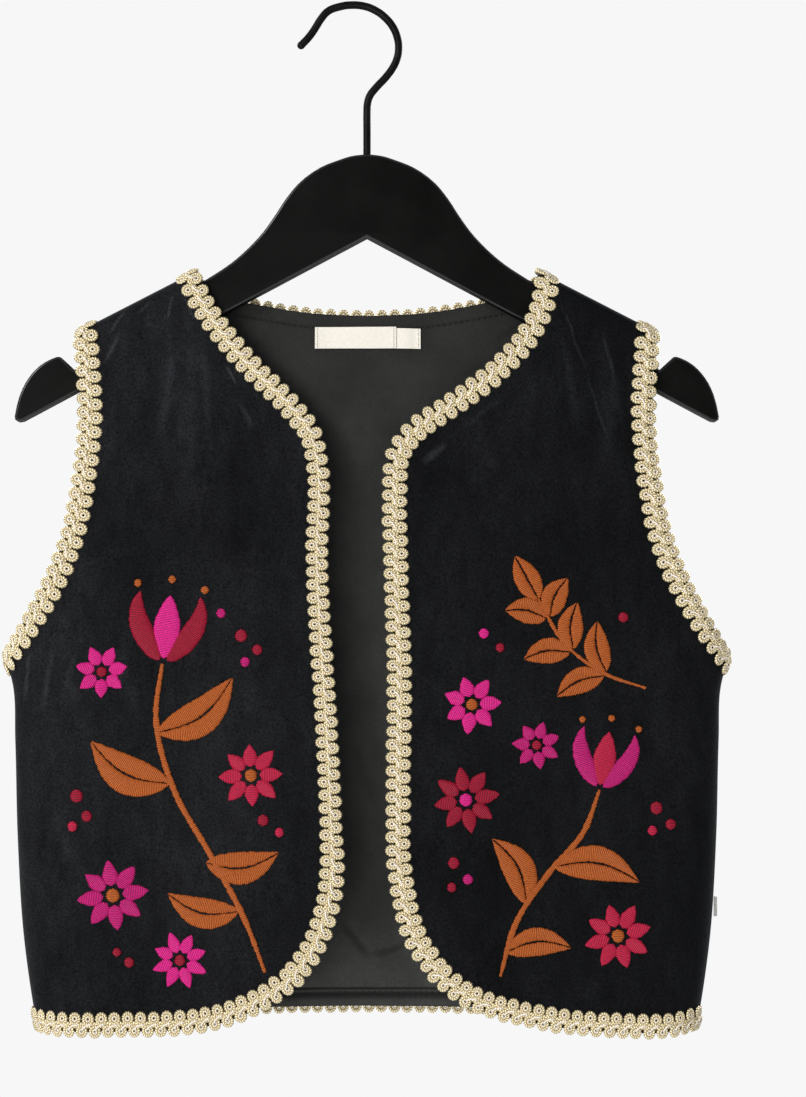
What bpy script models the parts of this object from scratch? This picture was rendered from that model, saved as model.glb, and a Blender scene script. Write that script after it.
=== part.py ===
"""A child's velvet vest edged with gold braid, hanging on a flat wooden clothes hanger.

Metres, +Z up. The origin is the inside of the hook's crown, where a rail carries it.
The garment's front faces -Y, and +X is to the viewer's right. Sizes in the tables are
millimetres: x is the distance from the hanger's centre line, z is the height.
"""
import math

import bmesh
import bpy
import numpy as np
from mathutils import Vector
from mathutils.bvhtree import BVHTree

MM = 0.001

# Cloth
WALL = 2.2
LINING = 1.0
LINING_GAP = 0.75
GAP = 0.3

# Shoulder seam: a straight fold that lies over the hanger's arms
NECK_POINT_X = 86.5
NECK_POINT_Z = -131.0
SHOULDER_END_X = 143.5
SHOULDER_SLOPE = 0.5135
SHOULDER_END_Z = NECK_POINT_Z - SHOULDER_SLOPE * (SHOULDER_END_X - NECK_POINT_X)
SHOULDER_ROLL = 7.0
SHOULDER_ROLL_POWER = 2.5

# Side seams: the cloth turns from front to back in a soft round
UNDERARM_X = 181.2
UNDERARM_Z = -322.0
ARMPIT_ZONE = 20.0
SIDE_ROLL = 30.0

# Half the garment's thickness at each height
DEPTH_Z = (-512.0, -450.0, -400.0, -350.0, -300.0, -250.0, -200.0, -160.0)
DEPTH_Y = (22.5, 23.0, 22.0, 20.0, 17.0, 14.0, 11.2, 10.0)

# Cut edge of each armhole, from the shoulder seam to the underarm: x, z
ARMHOLE = (
    (SHOULDER_END_X, SHOULDER_END_Z),
    (142.4, -175.0),
    (141.1, -207.0),
    (144.2, -236.0),
    (149.0, -261.0),
    (157.6, -283.4),
    (168.3, -302.8),
    (UNDERARM_X, UNDERARM_Z),
)

# Side seam, from the underarm to the hem: x, z
SIDE_SEAM = (
    (UNDERARM_X, UNDERARM_Z),
    (177.0, -337.0),
    (175.8, -364.0),
    (174.5, -414.0),
    (171.3, -464.0),
    (168.0, -489.0),
    (165.0, -507.0),
)

# Neck and front edge of the wearer's right front, down to the middle of its round corner: x, z
RIGHT_EDGE = (
    (NECK_POINT_X, NECK_POINT_Z),
    (78.0, -146.9),
    (68.8, -160.4),
    (57.1, -174.1),
    (32.3, -199.9),
    (24.9, -210.1),
    (21.6, -223.0),
    (21.1, -275.0),
    (19.1, -314.3),
    (16.4, -354.0),
    (14.0, -406.0),
    (13.4, -430.0),
    (17.2, -451.6),
    (24.0, -468.5),
    (34.5, -483.3),
)

# Hem of the wearer's right front, from the side seam to the round corner: x, z
RIGHT_HEM = (
    (165.0, -507.0),
    (151.0, -509.1),
    (122.0, -509.4),
    (97.0, -508.1),
    (79.2, -505.1),
    (64.0, -500.5),
    (49.0, -493.3),
    (34.5, -483.3),
)

LEFT_EDGE = (
    (NECK_POINT_X, NECK_POINT_Z),
    (84.4, -146.0),
    (79.6, -157.6),
    (62.2, -178.3),
    (37.3, -196.8),
    (25.2, -204.9),
    (16.7, -213.5),
    (11.7, -223.5),
    (10.6, -238.0),
    (11.0, -275.0),
    (12.7, -330.0),
    (12.3, -394.0),
    (13.0, -428.8),
    (15.6, -444.0),
    (19.6, -459.2),
    (33.5, -481.2),
)

LEFT_HEM = (
    (165.0, -507.0),
    (149.0, -508.8),
    (124.0, -509.6),
    (99.0, -507.9),
    (74.0, -502.6),
    (61.2, -498.5),
    (49.0, -492.8),
    (33.5, -481.2),
)

# Back neck edge from the shoulder seam to the middle, and the back hem: x, z
BACK_NECK = (
    (NECK_POINT_X, NECK_POINT_Z),
    (84.8, -135.5),
    (80.5, -139.5),
    (72.0, -143.0),
    (57.0, -146.2),
    (30.0, -150.6),
    (0.0, -152.3),
)
BACK_HEM = ((165.0, -507.0), (130.0, -505.5), (80.0, -502.5), (40.0, -501.0), (0.0, -500.5))

# Largest soft folds of the fronts: side (-1 is the wearer's right), top x, z, end x, z,
# half width, height (a trough is negative)
FOLDS = (
    (-1, 101.0, -146.0, 108.0, -205.0, 9.0, -1.8),
    (-1, 80.0, -170.0, 82.0, -262.0, 12.0, 2.2),
    (-1, 76.0, -160.0, 60.0, -206.0, 8.0, -1.4),
    (-1, 138.0, -300.0, 112.0, -366.0, 10.0, -1.8),
    (1, 112.0, -146.0, 114.0, -240.0, 9.0, -1.9),
    (1, 129.0, -165.0, 128.0, -245.0, 9.0, 1.7),
    (1, 64.0, -212.0, 30.0, -246.0, 9.0, -1.6),
    (1, 140.0, -470.0, 96.0, -512.0, 11.0, 1.8),
)

# Rows and columns of the cloth walls
ROLL_ROWS = (0.0, 0.12, 0.55, 1.7, 3.6, SHOULDER_ROLL)
ARMHOLE_ROWS = 7
SIDE_ROWS = 8
FRONT_COLUMNS = (0, 0.003, 0.011, 0.024, 0.044, 0.072, 0.11, 0.155, 0.215, 0.29, 0.37, 0.45,
                 0.53, 0.61, 0.69, 0.77, 0.85, 0.925, 1)
BACK_COLUMNS = (1, 0.9975, 0.99, 0.978, 0.96, 0.935, 0.9, 0.86, 0.8, 0.735, 0.665, 0.6028,
                0.591, 0.561, 0.502, 0.397, 0.265, 0.132, 0)
LINING_COLUMNS = (0.96, 0.935, 0.9, 0.86, 0.8, 0.735, 0.665, 0.6028, 0.561, 0.502, 0.397, 0.265,
                  0.132, 0)
LINING_ROWS = 11
LINING_NECK_DROP = 0.9
LINING_SHOULDER_DROP = 8.0
LINING_HEM_LIFT = 1.6

# Gimp braid: two rows of rings, half a step apart, so its edges are scalloped in turn
BRAID_PITCH = 7.0
BRAID_HALF_WIDTH = 6.5
BRAID_SCALLOP = 1.5
BRAID_THICKNESS = 2.1
BRAID_INSET = 3.5
BRAID_TOP_SHARE = 0.78
BRAID_GAP = 0.35
BRAID_BEND_GAP = 0.8
BRAID_PASSES = 2
BRAID_END_REACH = 12.0
SEARCH_REACH = 12.0

# Labels on the lining: left, right, top, bottom edge; and the tag in the left side seam
NECK_LABEL = (-26.2, 13.7, -157.9, -168.5)
SIZE_LABEL = (14.1, 26.8, -158.7, -168.7)
LABEL_THICKNESS = 0.6
LABEL_COLUMNS = 5
SIDE_TAG_TOP = -443.0
SIDE_TAG_BOTTOM = -452.8
SIDE_TAG_REACH = 1.6
SIDE_TAG_THICKNESS = 0.8

# Hanger bar: top and bottom outline from the middle outwards: x, z
BAR_THICKNESS = 12.0
BAR_BEVEL = 3.5
BAR_TOP = (
    (0.0, -72.4),
    (8.0, -73.0),
    (14.0, -75.1),
    (23.2, -79.0),
    (34.2, -87.0),
    (40.8, -95.0),
    (46.0, -103.0),
    (51.7, -111.0),
    (59.0, -119.0),
    (68.2, -127.0),
    (80.5, -135.1),
)
ARM_SLOPE = 0.512
ARM_ARCH = 4.1
ARM_ARCH_START = 83.0
ARM_ARCH_END = 152.0
ARM_PLACES = (92.0, 104.0, 118.0, 136.0)
NOTCH_TIP = (
    (141.0, -175.5),
    (146.0, -180.0),
    (154.0, -173.0),
    (163.5, -178.6),
    (170.5, -187.5),
    (174.2, -197.5),
    (175.6, -203.8),
    (172.5, -205.9),
)
BAR_APEX_Z = -114.0

# Wire hook: centre line from the free tip to the stem: x, z
WIRE_RADIUS = 1.75
HOOK_SIDES = 10
HOOK_LINE = (
    (-32.9, -17.4),
    (-25.8, -8.7),
    (-19.5, -0.4),
    (-13.6, 1.9),
    (-6.0, 2.7),
    (0.4, 1.7),
    (8.8, -3.3),
    (15.2, -13.7),
    (15.0, -24.0),
    (9.2, -33.6),
    (1.4, -42.6),
    (0.0, -50.0),
)
STEM_SINK = 16.0
BORE_GAP = 0.3


def bend(points, steps=8):
    """Samples of a smooth curve through the points, which may be unevenly spaced."""
    p = np.array(points, float)
    span = np.linalg.norm(np.diff(p, axis=0), axis=1)
    slope = np.diff(p, axis=0) / span[:, None]
    inner = (slope[:-1] * span[1:, None] + slope[1:] * span[:-1, None]) / (span[:-1] + span[1:])[:, None]
    tangent = np.vstack([slope[:1], inner, slope[-1:]])
    samples = [p[0]]
    for i, h in enumerate(span):
        for t in np.arange(1, steps + 1) / steps:
            start = (2 * t**3 - 3 * t**2 + 1) * p[i] + (t**3 - 2 * t**2 + t) * h * tangent[i]
            end = (3 * t**2 - 2 * t**3) * p[i + 1] + (t**3 - t**2) * h * tangent[i + 1]
            samples.append(start + end)
    return np.array(samples)


def lengths(curve):
    """The distance along a curve at each of its samples."""
    return np.concatenate([[0.0], np.cumsum(np.linalg.norm(np.diff(curve, axis=0), axis=1))])


def along(curve, distance):
    """The points of a curve at these distances along it."""
    s = lengths(curve)
    return np.stack([np.interp(distance, s, curve[:, k]) for k in range(curve.shape[1])], axis=-1)


def shoulder_line(x):
    return NECK_POINT_Z - SHOULDER_SLOPE * (np.abs(x) - NECK_POINT_X)


def side_line(z):
    curve = bend(SIDE_SEAM)[::-1]
    return np.interp(z, curve[:, 1], curve[:, 0])


def fold_height(x, z):
    """How far the soft folds stand out of a front at x, z."""
    total = np.zeros(np.broadcast(x, z).shape)
    for side, x0, z0, x1, z1, width, height in FOLDS:
        a, b = np.array((side * x0, z0)), np.array((side * x1, z1))
        run = (b - a) / np.linalg.norm(b - a)
        t = ((x - a[0]) * run[0] + (z - a[1]) * run[1]) / np.linalg.norm(b - a)
        off = (x - a[0]) * run[1] - (z - a[1]) * run[0]
        total = total + height * np.exp(-((off / width) ** 2)) * np.sin(math.pi * np.clip(t, 0, 1)) ** 2
    return total


def depth(x, z, face):
    """Half thickness of the worn form at x, z; face is -1 for the front and 1 for the back."""
    inset = np.clip((side_line(z) - np.abs(x)) / SIDE_ROLL, 0, 1)
    side = np.sqrt(1 - (1 - inset) ** 2)
    drop = np.clip((shoulder_line(x) - z) / SHOULDER_ROLL, 0, 1)
    shoulder = (1 - (1 - drop) ** SHOULDER_ROLL_POWER) ** (1 / SHOULDER_ROLL_POWER)
    body = np.interp(z, DEPTH_Z, DEPTH_Y) - GAP / 2
    if face < 0:
        body = body + fold_height(x, z) * side**2
    return GAP / 2 + body * side * shoulder


def skin(x, z, face):
    """Points of the cloth's outer face and the way that it faces, for arrays of x and z."""
    step = 0.02
    y = depth(x, z, face)
    dx = (depth(x + step, z, face) - depth(x - step, z, face)) / (2 * step)
    dz = (depth(x, z + step, face) - depth(x, z - step, face)) / (2 * step)
    flat = np.where(y > GAP / 2 + 1e-6, 1.0, 0.0)
    on_shoulder = (flat == 0) & (z > UNDERARM_Z + ARMPIT_ZONE)
    nx = np.where(flat == 0, np.where(on_shoulder, np.sign(x) * SHOULDER_SLOPE, np.sign(x)), -dx)
    nz = np.where(flat == 0, np.where(on_shoulder, 1.0, 0.0), -dz)
    normal = np.stack([nx, face * flat, nz], axis=-1)
    normal /= np.linalg.norm(normal, axis=-1, keepdims=True)
    return np.stack([x, face * y, z], axis=-1), normal


def outer_curve():
    """Armhole and side seam as one curve, and the armhole's own length."""
    armhole = bend(ARMHOLE)
    return np.vstack([armhole, bend(SIDE_SEAM)[1:]]), lengths(armhole)[-1]


def row_places(first, underarm, last):
    """Distances of the rows along an edge: the shoulder's roll, the armhole, then the side."""
    upper = np.linspace(first, underarm, ARMHOLE_ROWS + 1)[1:]
    lower = np.linspace(underarm, last, SIDE_ROWS + 1)[1:]
    return np.concatenate([ROLL_ROWS, upper, lower])


def front_grid(edge, hem):
    """x and z of a front's grid, with x positive on its own side."""
    outer, armhole_length = outer_curve()
    inner = bend(edge)
    level = np.interp(-UNDERARM_Z, -inner[:, 1], lengths(inner))
    a = along(outer, row_places(SHOULDER_ROLL, armhole_length, lengths(outer)[-1]))
    b = along(inner, row_places(SHOULDER_ROLL, level, lengths(inner)[-1]))
    u = np.array(FRONT_COLUMNS)[None, :, None]
    grid = (1 - u) * a[:, None] + u * b[:, None]
    hem_curve = bend(hem)
    bottom = along(hem_curve, np.array(FRONT_COLUMNS) * lengths(hem_curve)[-1])
    rows = len(a)
    weight = np.clip((np.arange(rows) - (rows - 1 - SIDE_ROWS)) / SIDE_ROWS, 0, 1) ** 2
    return grid + weight[:, None, None] * (bottom - grid[-1])[None]


def back_grid(columns, places, top_of, hem_lift):
    """x and z of a grid over the whole back, from one side seam to the other."""
    outer, armhole_length = outer_curve()
    a = along(outer, places)
    half = np.array(columns)
    u = np.concatenate([-half, half[-2::-1]])
    x = a[:, :1] * u[None]
    first = top_of(x[0])
    upper = np.clip((places - places[0]) / (armhole_length - places[0]), 0, 1)
    lower = np.clip((places - armhole_length) / (places[-1] - armhole_length), 0, 1)
    keep = 1 - upper**2 * (3 - 2 * upper)
    hem_curve = bend(BACK_HEM)[::-1]
    bottom = np.interp(np.abs(x[-1]), hem_curve[:, 0], hem_curve[:, 1]) + hem_lift
    z = a[:, 1:] + keep[:, None] * (first - a[0, 1])[None] + (lower**2)[:, None] * (bottom - a[-1, 1])[None]
    return np.stack([x, z], axis=-1)


def back_top(x):
    """Height of the back's upper edge: shoulder seams and neck."""
    neck = bend(BACK_NECK)[::-1]
    return np.where(np.abs(x) < NECK_POINT_X, np.interp(np.abs(x), neck[:, 0], neck[:, 1]), shoulder_line(x))


def lining_top(x):
    return np.minimum(back_top(x) - LINING_NECK_DROP, shoulder_line(x) - LINING_SHOULDER_DROP)


def material(name, colour, roughness, metallic=0.0):
    m = bpy.data.materials.new(name)
    m.use_nodes = True
    shader = m.node_tree.nodes["Principled BSDF"]
    shader.inputs["Base Color"].default_value = (*colour, 1)
    shader.inputs["Roughness"].default_value = roughness
    shader.inputs["Metallic"].default_value = metallic
    return m


def solid(name, points, faces, finish, smooth_angle=40.0):
    """A closed body from points in millimetres, as an object of its own."""
    bm = bmesh.new()
    verts = [bm.verts.new(Vector(p) * MM) for p in points]
    for face in faces:
        bm.faces.new([verts[i] for i in face])
    bmesh.ops.recalc_face_normals(bm, faces=bm.faces)
    bmesh.ops.triangulate(bm, faces=bm.faces)
    mesh = bpy.data.meshes.new(name)
    bm.to_mesh(mesh)
    bm.free()
    mesh.materials.append(finish)
    mesh.shade_smooth()
    mesh.set_sharp_from_angle(angle=math.radians(smooth_angle))
    obj = bpy.data.objects.new(name, mesh)
    bpy.context.scene.collection.objects.link(obj)
    return obj


def wall(name, outside, inside, finish):
    """A cloth wall between two grids of points, closed all round its edge."""
    rows, columns = outside.shape[:2]
    count = rows * columns
    points = np.vstack([outside.reshape(-1, 3), inside.reshape(-1, 3)])
    faces = []
    for r in range(rows - 1):
        for c in range(columns - 1):
            a = r * columns + c
            quad = (a, a + 1, a + columns + 1, a + columns)
            faces.append(quad)
            faces.append(tuple(count + i for i in reversed(quad)))
    rim = [c for c in range(columns)]
    rim += [r * columns + columns - 1 for r in range(1, rows)]
    rim += [(rows - 1) * columns + c for c in range(columns - 2, -1, -1)]
    rim += [r * columns for r in range(rows - 2, 0, -1)]
    for a, b in zip(rim, rim[1:] + rim[:1]):
        faces.append((a, a + count, b + count, b))
    return solid(name, points, faces, finish)


def front(name, side, edge, hem, finish):
    """One front, cut with a round neck and a round lower corner."""
    grid = front_grid(edge, hem)
    outside, normal = skin(side * grid[..., 0], grid[..., 1], -1)
    return wall(name, outside, outside - WALL * normal, finish)


def back(finish):
    """The back, in one piece from side seam to side seam."""
    outer, armhole_length = outer_curve()
    places = row_places(SHOULDER_ROLL, armhole_length, lengths(outer)[-1])
    grid = back_grid(BACK_COLUMNS, places, back_top, 0)
    outside, normal = skin(grid[..., 0], grid[..., 1], 1)
    return wall("back", outside, outside - WALL * normal, finish)


def back_lining(finish):
    """Jersey lining inside the back, made from the back's own form and moved in."""
    outer, _ = outer_curve()
    places = np.linspace(LINING_SHOULDER_DROP, lengths(outer)[-1] - LINING_HEM_LIFT, LINING_ROWS)
    grid = back_grid(LINING_COLUMNS, places, lining_top, LINING_HEM_LIFT)
    outside, normal = skin(grid[..., 0], grid[..., 1], 1)
    far = WALL + LINING_GAP
    return wall("back_lining", outside - far * normal, outside - (far + LINING) * normal, finish)


def label(name, box, finish):
    """A woven label, sewn flat on the lining."""
    left, right, top, bottom = box
    x, z = np.meshgrid(np.linspace(left, right, LABEL_COLUMNS), np.linspace(top, bottom, 3))
    points, normal = skin(x, z, 1)
    far = WALL + LINING_GAP + LINING + GAP
    return wall(name, points - far * normal, points - (far + LABEL_THICKNESS) * normal, finish)


def side_tag(finish):
    """The end of a folded care tag, caught in the left side seam."""
    near = side_line(SIDE_TAG_TOP) + GAP
    grid = np.array([[(near, z), (near + SIDE_TAG_REACH, z)] for z in (SIDE_TAG_TOP, SIDE_TAG_BOTTOM)])
    y = np.full(grid.shape[:2], SIDE_TAG_THICKNESS / 2)
    outside = np.stack([grid[..., 0], -y, grid[..., 1]], axis=-1)
    return wall("side_tag", outside, outside * (1, -1, 1), finish)


def inset_line(curve, distance):
    """A curve moved to its right by a distance, in the x, z plane."""
    run = np.gradient(curve, axis=0)
    run /= np.linalg.norm(run, axis=1, keepdims=True)
    return curve + distance * np.stack([run[:, 1], -run[:, 0]], axis=1)


def fine(curve):
    return along(curve, np.arange(0, lengths(curve)[-1], 0.25))


def edge_route(side, edge, hem):
    """The braid's middle line on one front, from the shoulder seam to the side seam: x, z."""
    full = np.vstack([bend(edge), bend(hem)[::-1][1:]])
    line = inset_line(fine(full), -BRAID_INSET)
    return line * (side, 1)


def armhole_route():
    """The braid's middle line round an armhole, run out to the side seam: x, z."""
    line = inset_line(fine(bend(ARMHOLE)), BRAID_INSET)
    run = (line[-1] - line[-5]) / np.linalg.norm(line[-1] - line[-5])
    more = line[-1] + run * np.arange(0.25, BRAID_END_REACH, 0.25)[:, None]
    return np.vstack([line, more[more[:, 0] < side_line(more[:, 1])]])


def on_cloth(route, face):
    """Points and normals of a route in x, z laid on one face of the garment."""
    return skin(route[:, 0], route[:, 1], face)


def braid(name, pieces, cloth, finish):
    """A closed strip of braid along routes on the cloth, with scalloped edges."""
    points = np.vstack([p for p, n in pieces])
    normals = np.vstack([n for p, n in pieces])
    loop = np.vstack([points, points[:1]])
    s = lengths(loop)
    count = 2 * round(s[-1] / BRAID_PITCH)
    places = np.arange(count) * s[-1] / count
    at = along(loop, places)
    turned = np.vstack([normals, normals[:1]])
    up = np.stack([np.interp(places, s, turned[:, k]) for k in range(3)], axis=1)
    up /= np.linalg.norm(up, axis=1, keepdims=True)
    run = np.roll(at, -1, axis=0) - np.roll(at, 1, axis=0)
    across = np.cross(run, up)
    across /= np.linalg.norm(across, axis=1, keepdims=True)
    odd = np.arange(count) % 2
    wide, narrow = BRAID_HALF_WIDTH, BRAID_HALF_WIDTH - BRAID_SCALLOP
    reach = np.stack([-np.where(odd, wide, narrow), np.where(odd, narrow, wide)], axis=1)
    under = at[:, None] + reach[..., None] * across[:, None]
    settle(under, up, cloth)
    over = at[:, None] + (under - at[:, None]) * BRAID_TOP_SHARE
    height = ((under - at[:, None]) * up[:, None]).sum(axis=2, keepdims=True)
    over += (height * (1 - BRAID_TOP_SHARE) + BRAID_THICKNESS) * up[:, None]
    section = np.stack([under[:, 0], under[:, 1], over[:, 1], over[:, 0]], axis=1).reshape(-1, 3)
    faces = []
    for i in range(count):
        j = (i + 1) % count
        for k in range(4):
            m = (k + 1) % 4
            faces.append((4 * i + k, 4 * i + m, 4 * j + m, 4 * j + k))
    return solid(name, section, faces, finish)


def settle(under, up, cloth):
    """Bring the strip's under side down on the cloth, then clear of it all over."""
    for line, way in zip(under, up):
        found = [cloth_height(cloth, p, way) for p in (line[0], line.mean(axis=0), line[1])]
        middle = found[1] or 0.0
        for k, height in ((0, found[0]), (1, found[2])):
            line[k] += ((middle if height is None else height) + BRAID_GAP) * way
    count = len(under)
    for _ in range(BRAID_PASSES):
        for i in range(count):
            j = (i + 1) % count
            for part in (0.0, 0.25, 0.5, 0.75):
                line = (1 - part) * under[i] + part * under[j]
                way = (1 - part) * up[i] + part * up[j]
                way = way / np.linalg.norm(way)
                bend_gap = BRAID_GAP + BRAID_BEND_GAP * np.linalg.norm(up[i] - up[j])
                spots = [(1 - t) * line[0] + t * line[1] for t in np.linspace(0, 1, 9)]
                found = [cloth_height(cloth, p, way) for p in spots]
                short = max([h + bend_gap for h in found if h is not None] + [0.0])
                under[i] += short * up[i]
                under[j] += short * up[j] * (part > 0)


def cloth_height(cloth, point, up):
    """How far the cloth's outer face lies above a point, or None beyond its edge."""
    start = Vector(point + SEARCH_REACH * up) * MM
    place = cloth.ray_cast(start, Vector(-up), 2 * SEARCH_REACH * MM)[0]
    return None if place is None else SEARCH_REACH - (place - start).length / MM


def arm_top(x):
    """Top of the hanger's arm, straight where it shows and arched a little under the cloth."""
    share = np.clip((x - ARM_ARCH_START) / (ARM_ARCH_END - ARM_ARCH_START), 0, 1)
    start_x, start_z = BAR_TOP[-1]
    return start_z - ARM_SLOPE * (x - start_x) + ARM_ARCH * math.sin(math.pi * share)


def hanger_bar(finish):
    """The wooden bar: one flat board with rounded edges, strap notches and a bore for the hook."""
    arm = [(x, arm_top(x)) for x in ARM_PLACES]
    half = [tuple(p) for p in bend(BAR_TOP, 2)] + arm + list(NOTCH_TIP)
    outline = half + [(0.0, BAR_APEX_Z)] + [(-x, z) for x, z in reversed(half[1:])]
    bm = bmesh.new()
    face = bm.faces.new([bm.verts.new((x * MM, -BAR_THICKNESS / 2 * MM, z * MM)) for x, z in outline])
    depth_m = Vector((0, BAR_THICKNESS * MM, 0))
    moved = bmesh.ops.extrude_face_region(bm, geom=[face])["geom"]
    bmesh.ops.translate(bm, verts=[v for v in moved if isinstance(v, bmesh.types.BMVert)], vec=depth_m)
    bmesh.ops.recalc_face_normals(bm, faces=bm.faces)
    broad = [e for e in bm.edges if abs(e.verts[0].co.y - e.verts[1].co.y) < 1e-7]
    bmesh.ops.bevel(bm, geom=broad, offset=BAR_BEVEL * MM, segments=2, profile=0.5, affect="EDGES",
                    clamp_overlap=True)
    bmesh.ops.triangulate(bm, faces=bm.faces)
    mesh = bpy.data.meshes.new("hanger_bar")
    bm.to_mesh(mesh)
    bm.free()
    mesh.materials.append(finish)
    obj = bpy.data.objects.new("hanger_bar", mesh)
    bpy.context.scene.collection.objects.link(obj)
    top = BAR_TOP[0][1]
    bpy.ops.mesh.primitive_cylinder_add(
        vertices=16,
        radius=(WIRE_RADIUS + BORE_GAP) * MM,
        depth=2 * (STEM_SINK + BORE_GAP) * MM,
        location=(0, 0, top * MM),
    )
    cutter = bpy.context.object
    cutter.name = "stem_bore_cutter"
    cutter.hide_render = True
    cutter.display_type = "WIRE"
    bore = obj.modifiers.new("stem bore", "BOOLEAN")
    bore.operation = "DIFFERENCE"
    bore.object = cutter
    return obj


def hanger_hook(finish):
    """The wire hook, round at its free tip, with its stem sunk in the bar."""
    stem_end = BAR_TOP[0][1] - STEM_SINK
    line = np.vstack([bend(HOOK_LINE, 3), [(0.0, BAR_TOP[0][1] + 2.0), (0.0, stem_end)]])
    start = (line[0] - line[1]) / np.linalg.norm(line[0] - line[1])
    tip = [line[0] + start * WIRE_RADIUS * t for t in (1.0, 0.75)]
    line = np.vstack([tip, line])
    radii = [0.2 * WIRE_RADIUS, 0.72 * WIRE_RADIUS] + [WIRE_RADIUS] * (len(line) - 2)
    run = np.gradient(line, axis=0)
    run /= np.linalg.norm(run, axis=1, keepdims=True)
    points = []
    for (x, z), (tx, tz), radius in zip(line, run, radii):
        for k in range(HOOK_SIDES):
            angle = 2 * math.pi * k / HOOK_SIDES
            flat = radius * math.cos(angle)
            points.append((x - tz * flat, radius * math.sin(angle), z + tx * flat))
    faces = [tuple(range(HOOK_SIDES)), tuple(range(len(points) - HOOK_SIDES, len(points)))]
    for i in range(len(line) - 1):
        for k in range(HOOK_SIDES):
            m = (k + 1) % HOOK_SIDES
            a, b = i * HOOK_SIDES, (i + 1) * HOOK_SIDES
            faces.append((a + k, a + m, b + m, b + k))
    return solid("hanger_hook", points, faces, finish)


def outer_faces(objects):
    """The garment's own walls as one searchable surface."""
    verts, faces = [], []
    for obj in objects:
        first = len(verts)
        verts += [v.co.copy() for v in obj.data.vertices]
        faces += [[first + i for i in p.vertices] for p in obj.data.polygons]
    return BVHTree.FromPolygons(verts, faces)


for old in list(bpy.data.objects):
    bpy.data.objects.remove(old, do_unlink=True)

velvet = material("velvet", (0.012, 0.015, 0.017), 0.85)
jersey = material("jersey lining", (0.032, 0.032, 0.03), 0.9)
gold = material("gold braid", (0.78, 0.66, 0.4), 0.4, 0.5)
cotton = material("label cotton", (0.85, 0.8, 0.7), 0.9)
black_wood = material("black painted wood", (0.008, 0.008, 0.009), 0.45)
black_wire = material("black wire", (0.01, 0.01, 0.011), 0.35, 0.6)

right = front("front_right", -1, RIGHT_EDGE, RIGHT_HEM, velvet)
left = front("front_left", 1, LEFT_EDGE, LEFT_HEM, velvet)
whole_back = back(velvet)
back_lining(jersey)
label("neck_label", NECK_LABEL, cotton)
label("size_label", SIZE_LABEL, cotton)
side_tag(cotton)

cloth_surface = outer_faces([right, left, whole_back])
half_hem = inset_line(fine(bend(BACK_HEM)), BRAID_INSET)
half_neck = inset_line(fine(bend(BACK_NECK)), -BRAID_INSET)
mirror = np.array((-1, 1))
edge_pieces = [
    on_cloth(edge_route(-1, RIGHT_EDGE, RIGHT_HEM), -1),
    on_cloth(half_hem * mirror, 1),
    on_cloth(half_hem[::-1], 1),
    on_cloth(edge_route(1, LEFT_EDGE, LEFT_HEM)[::-1], -1),
    on_cloth(half_neck, 1),
    on_cloth((half_neck * mirror)[::-1], 1),
]
braid("braid_edge", edge_pieces, cloth_surface, gold)
for name, side in (("braid_armhole_right", -1), ("braid_armhole_left", 1)):
    route = armhole_route() * (side, 1)
    braid(name, [on_cloth(route, -1), on_cloth(route[::-1], 1)], cloth_surface, gold)

hanger_bar(black_wood)
hanger_hook(black_wire)
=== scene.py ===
"""The vest as it looks: dark velvet and jersey, gold gimp braid and folk embroidery, on a black hanger."""
import math
import random

import bmesh
import bpy
import numpy as np
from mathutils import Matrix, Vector
from mathutils.bvhtree import BVHTree


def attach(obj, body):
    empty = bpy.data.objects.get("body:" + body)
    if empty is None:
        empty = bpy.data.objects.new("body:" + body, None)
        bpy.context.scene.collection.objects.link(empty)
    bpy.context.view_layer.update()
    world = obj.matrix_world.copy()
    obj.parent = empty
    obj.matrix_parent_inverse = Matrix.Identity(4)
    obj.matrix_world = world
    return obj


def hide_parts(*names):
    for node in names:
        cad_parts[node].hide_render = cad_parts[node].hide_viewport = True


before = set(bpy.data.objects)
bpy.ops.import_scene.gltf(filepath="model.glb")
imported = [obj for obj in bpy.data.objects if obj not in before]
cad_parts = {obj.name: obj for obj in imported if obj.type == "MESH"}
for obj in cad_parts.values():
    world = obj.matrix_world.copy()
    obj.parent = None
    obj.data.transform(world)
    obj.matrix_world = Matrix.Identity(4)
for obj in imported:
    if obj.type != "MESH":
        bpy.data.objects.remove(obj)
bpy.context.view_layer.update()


# Hanger bar. A flat beech board sawn to a bow, with a strap notch near each tip. Its edges
# are rounded over with a router and it is sprayed with satin black paint.
MM = 0.001
BAR_THICKNESS = 12.0
BAR_ROUND = 1.3
BAR_TOP = (
    (0.0, -72.4), (8.0, -73.4), (14.0, -75.3), (23.2, -79.0), (34.2, -87.0), (40.8, -95.0),
    (46.0, -103.0), (51.7, -111.0), (59.0, -119.0), (68.2, -127.0), (80.5, -135.1),
)
ARM_END = (152.0, -173.4)
ARM_ARCH = 4.1
ARM_SLOPE = 0.512
BAR_NOTCH = ((136.0, -160.8), (141.0, -175.5), (146.0, -180.0), (153.0, -173.5))
BAR_TIP = (
    (154.5, -173.4), (158.4, -174.9), (163.0, -177.7), (167.0, -181.6), (170.4, -186.5), (172.9, -192.0),
    (174.6, -198.0), (175.6, -203.2),
)
BAR_LOWER_TIP = ((175.3, -204.9), (173.7, -205.9), (171.6, -205.5))
BAR_APEX_Z = -114.0


def deselect():
    """Leave nothing selected, so that an operator meets only the new piece."""
    bpy.ops.object.select_all(action="DESELECT")


def choose(obj):
    """Select one object and make it the active one."""
    deselect()
    obj.select_set(True)
    bpy.context.view_layer.objects.active = obj


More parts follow.
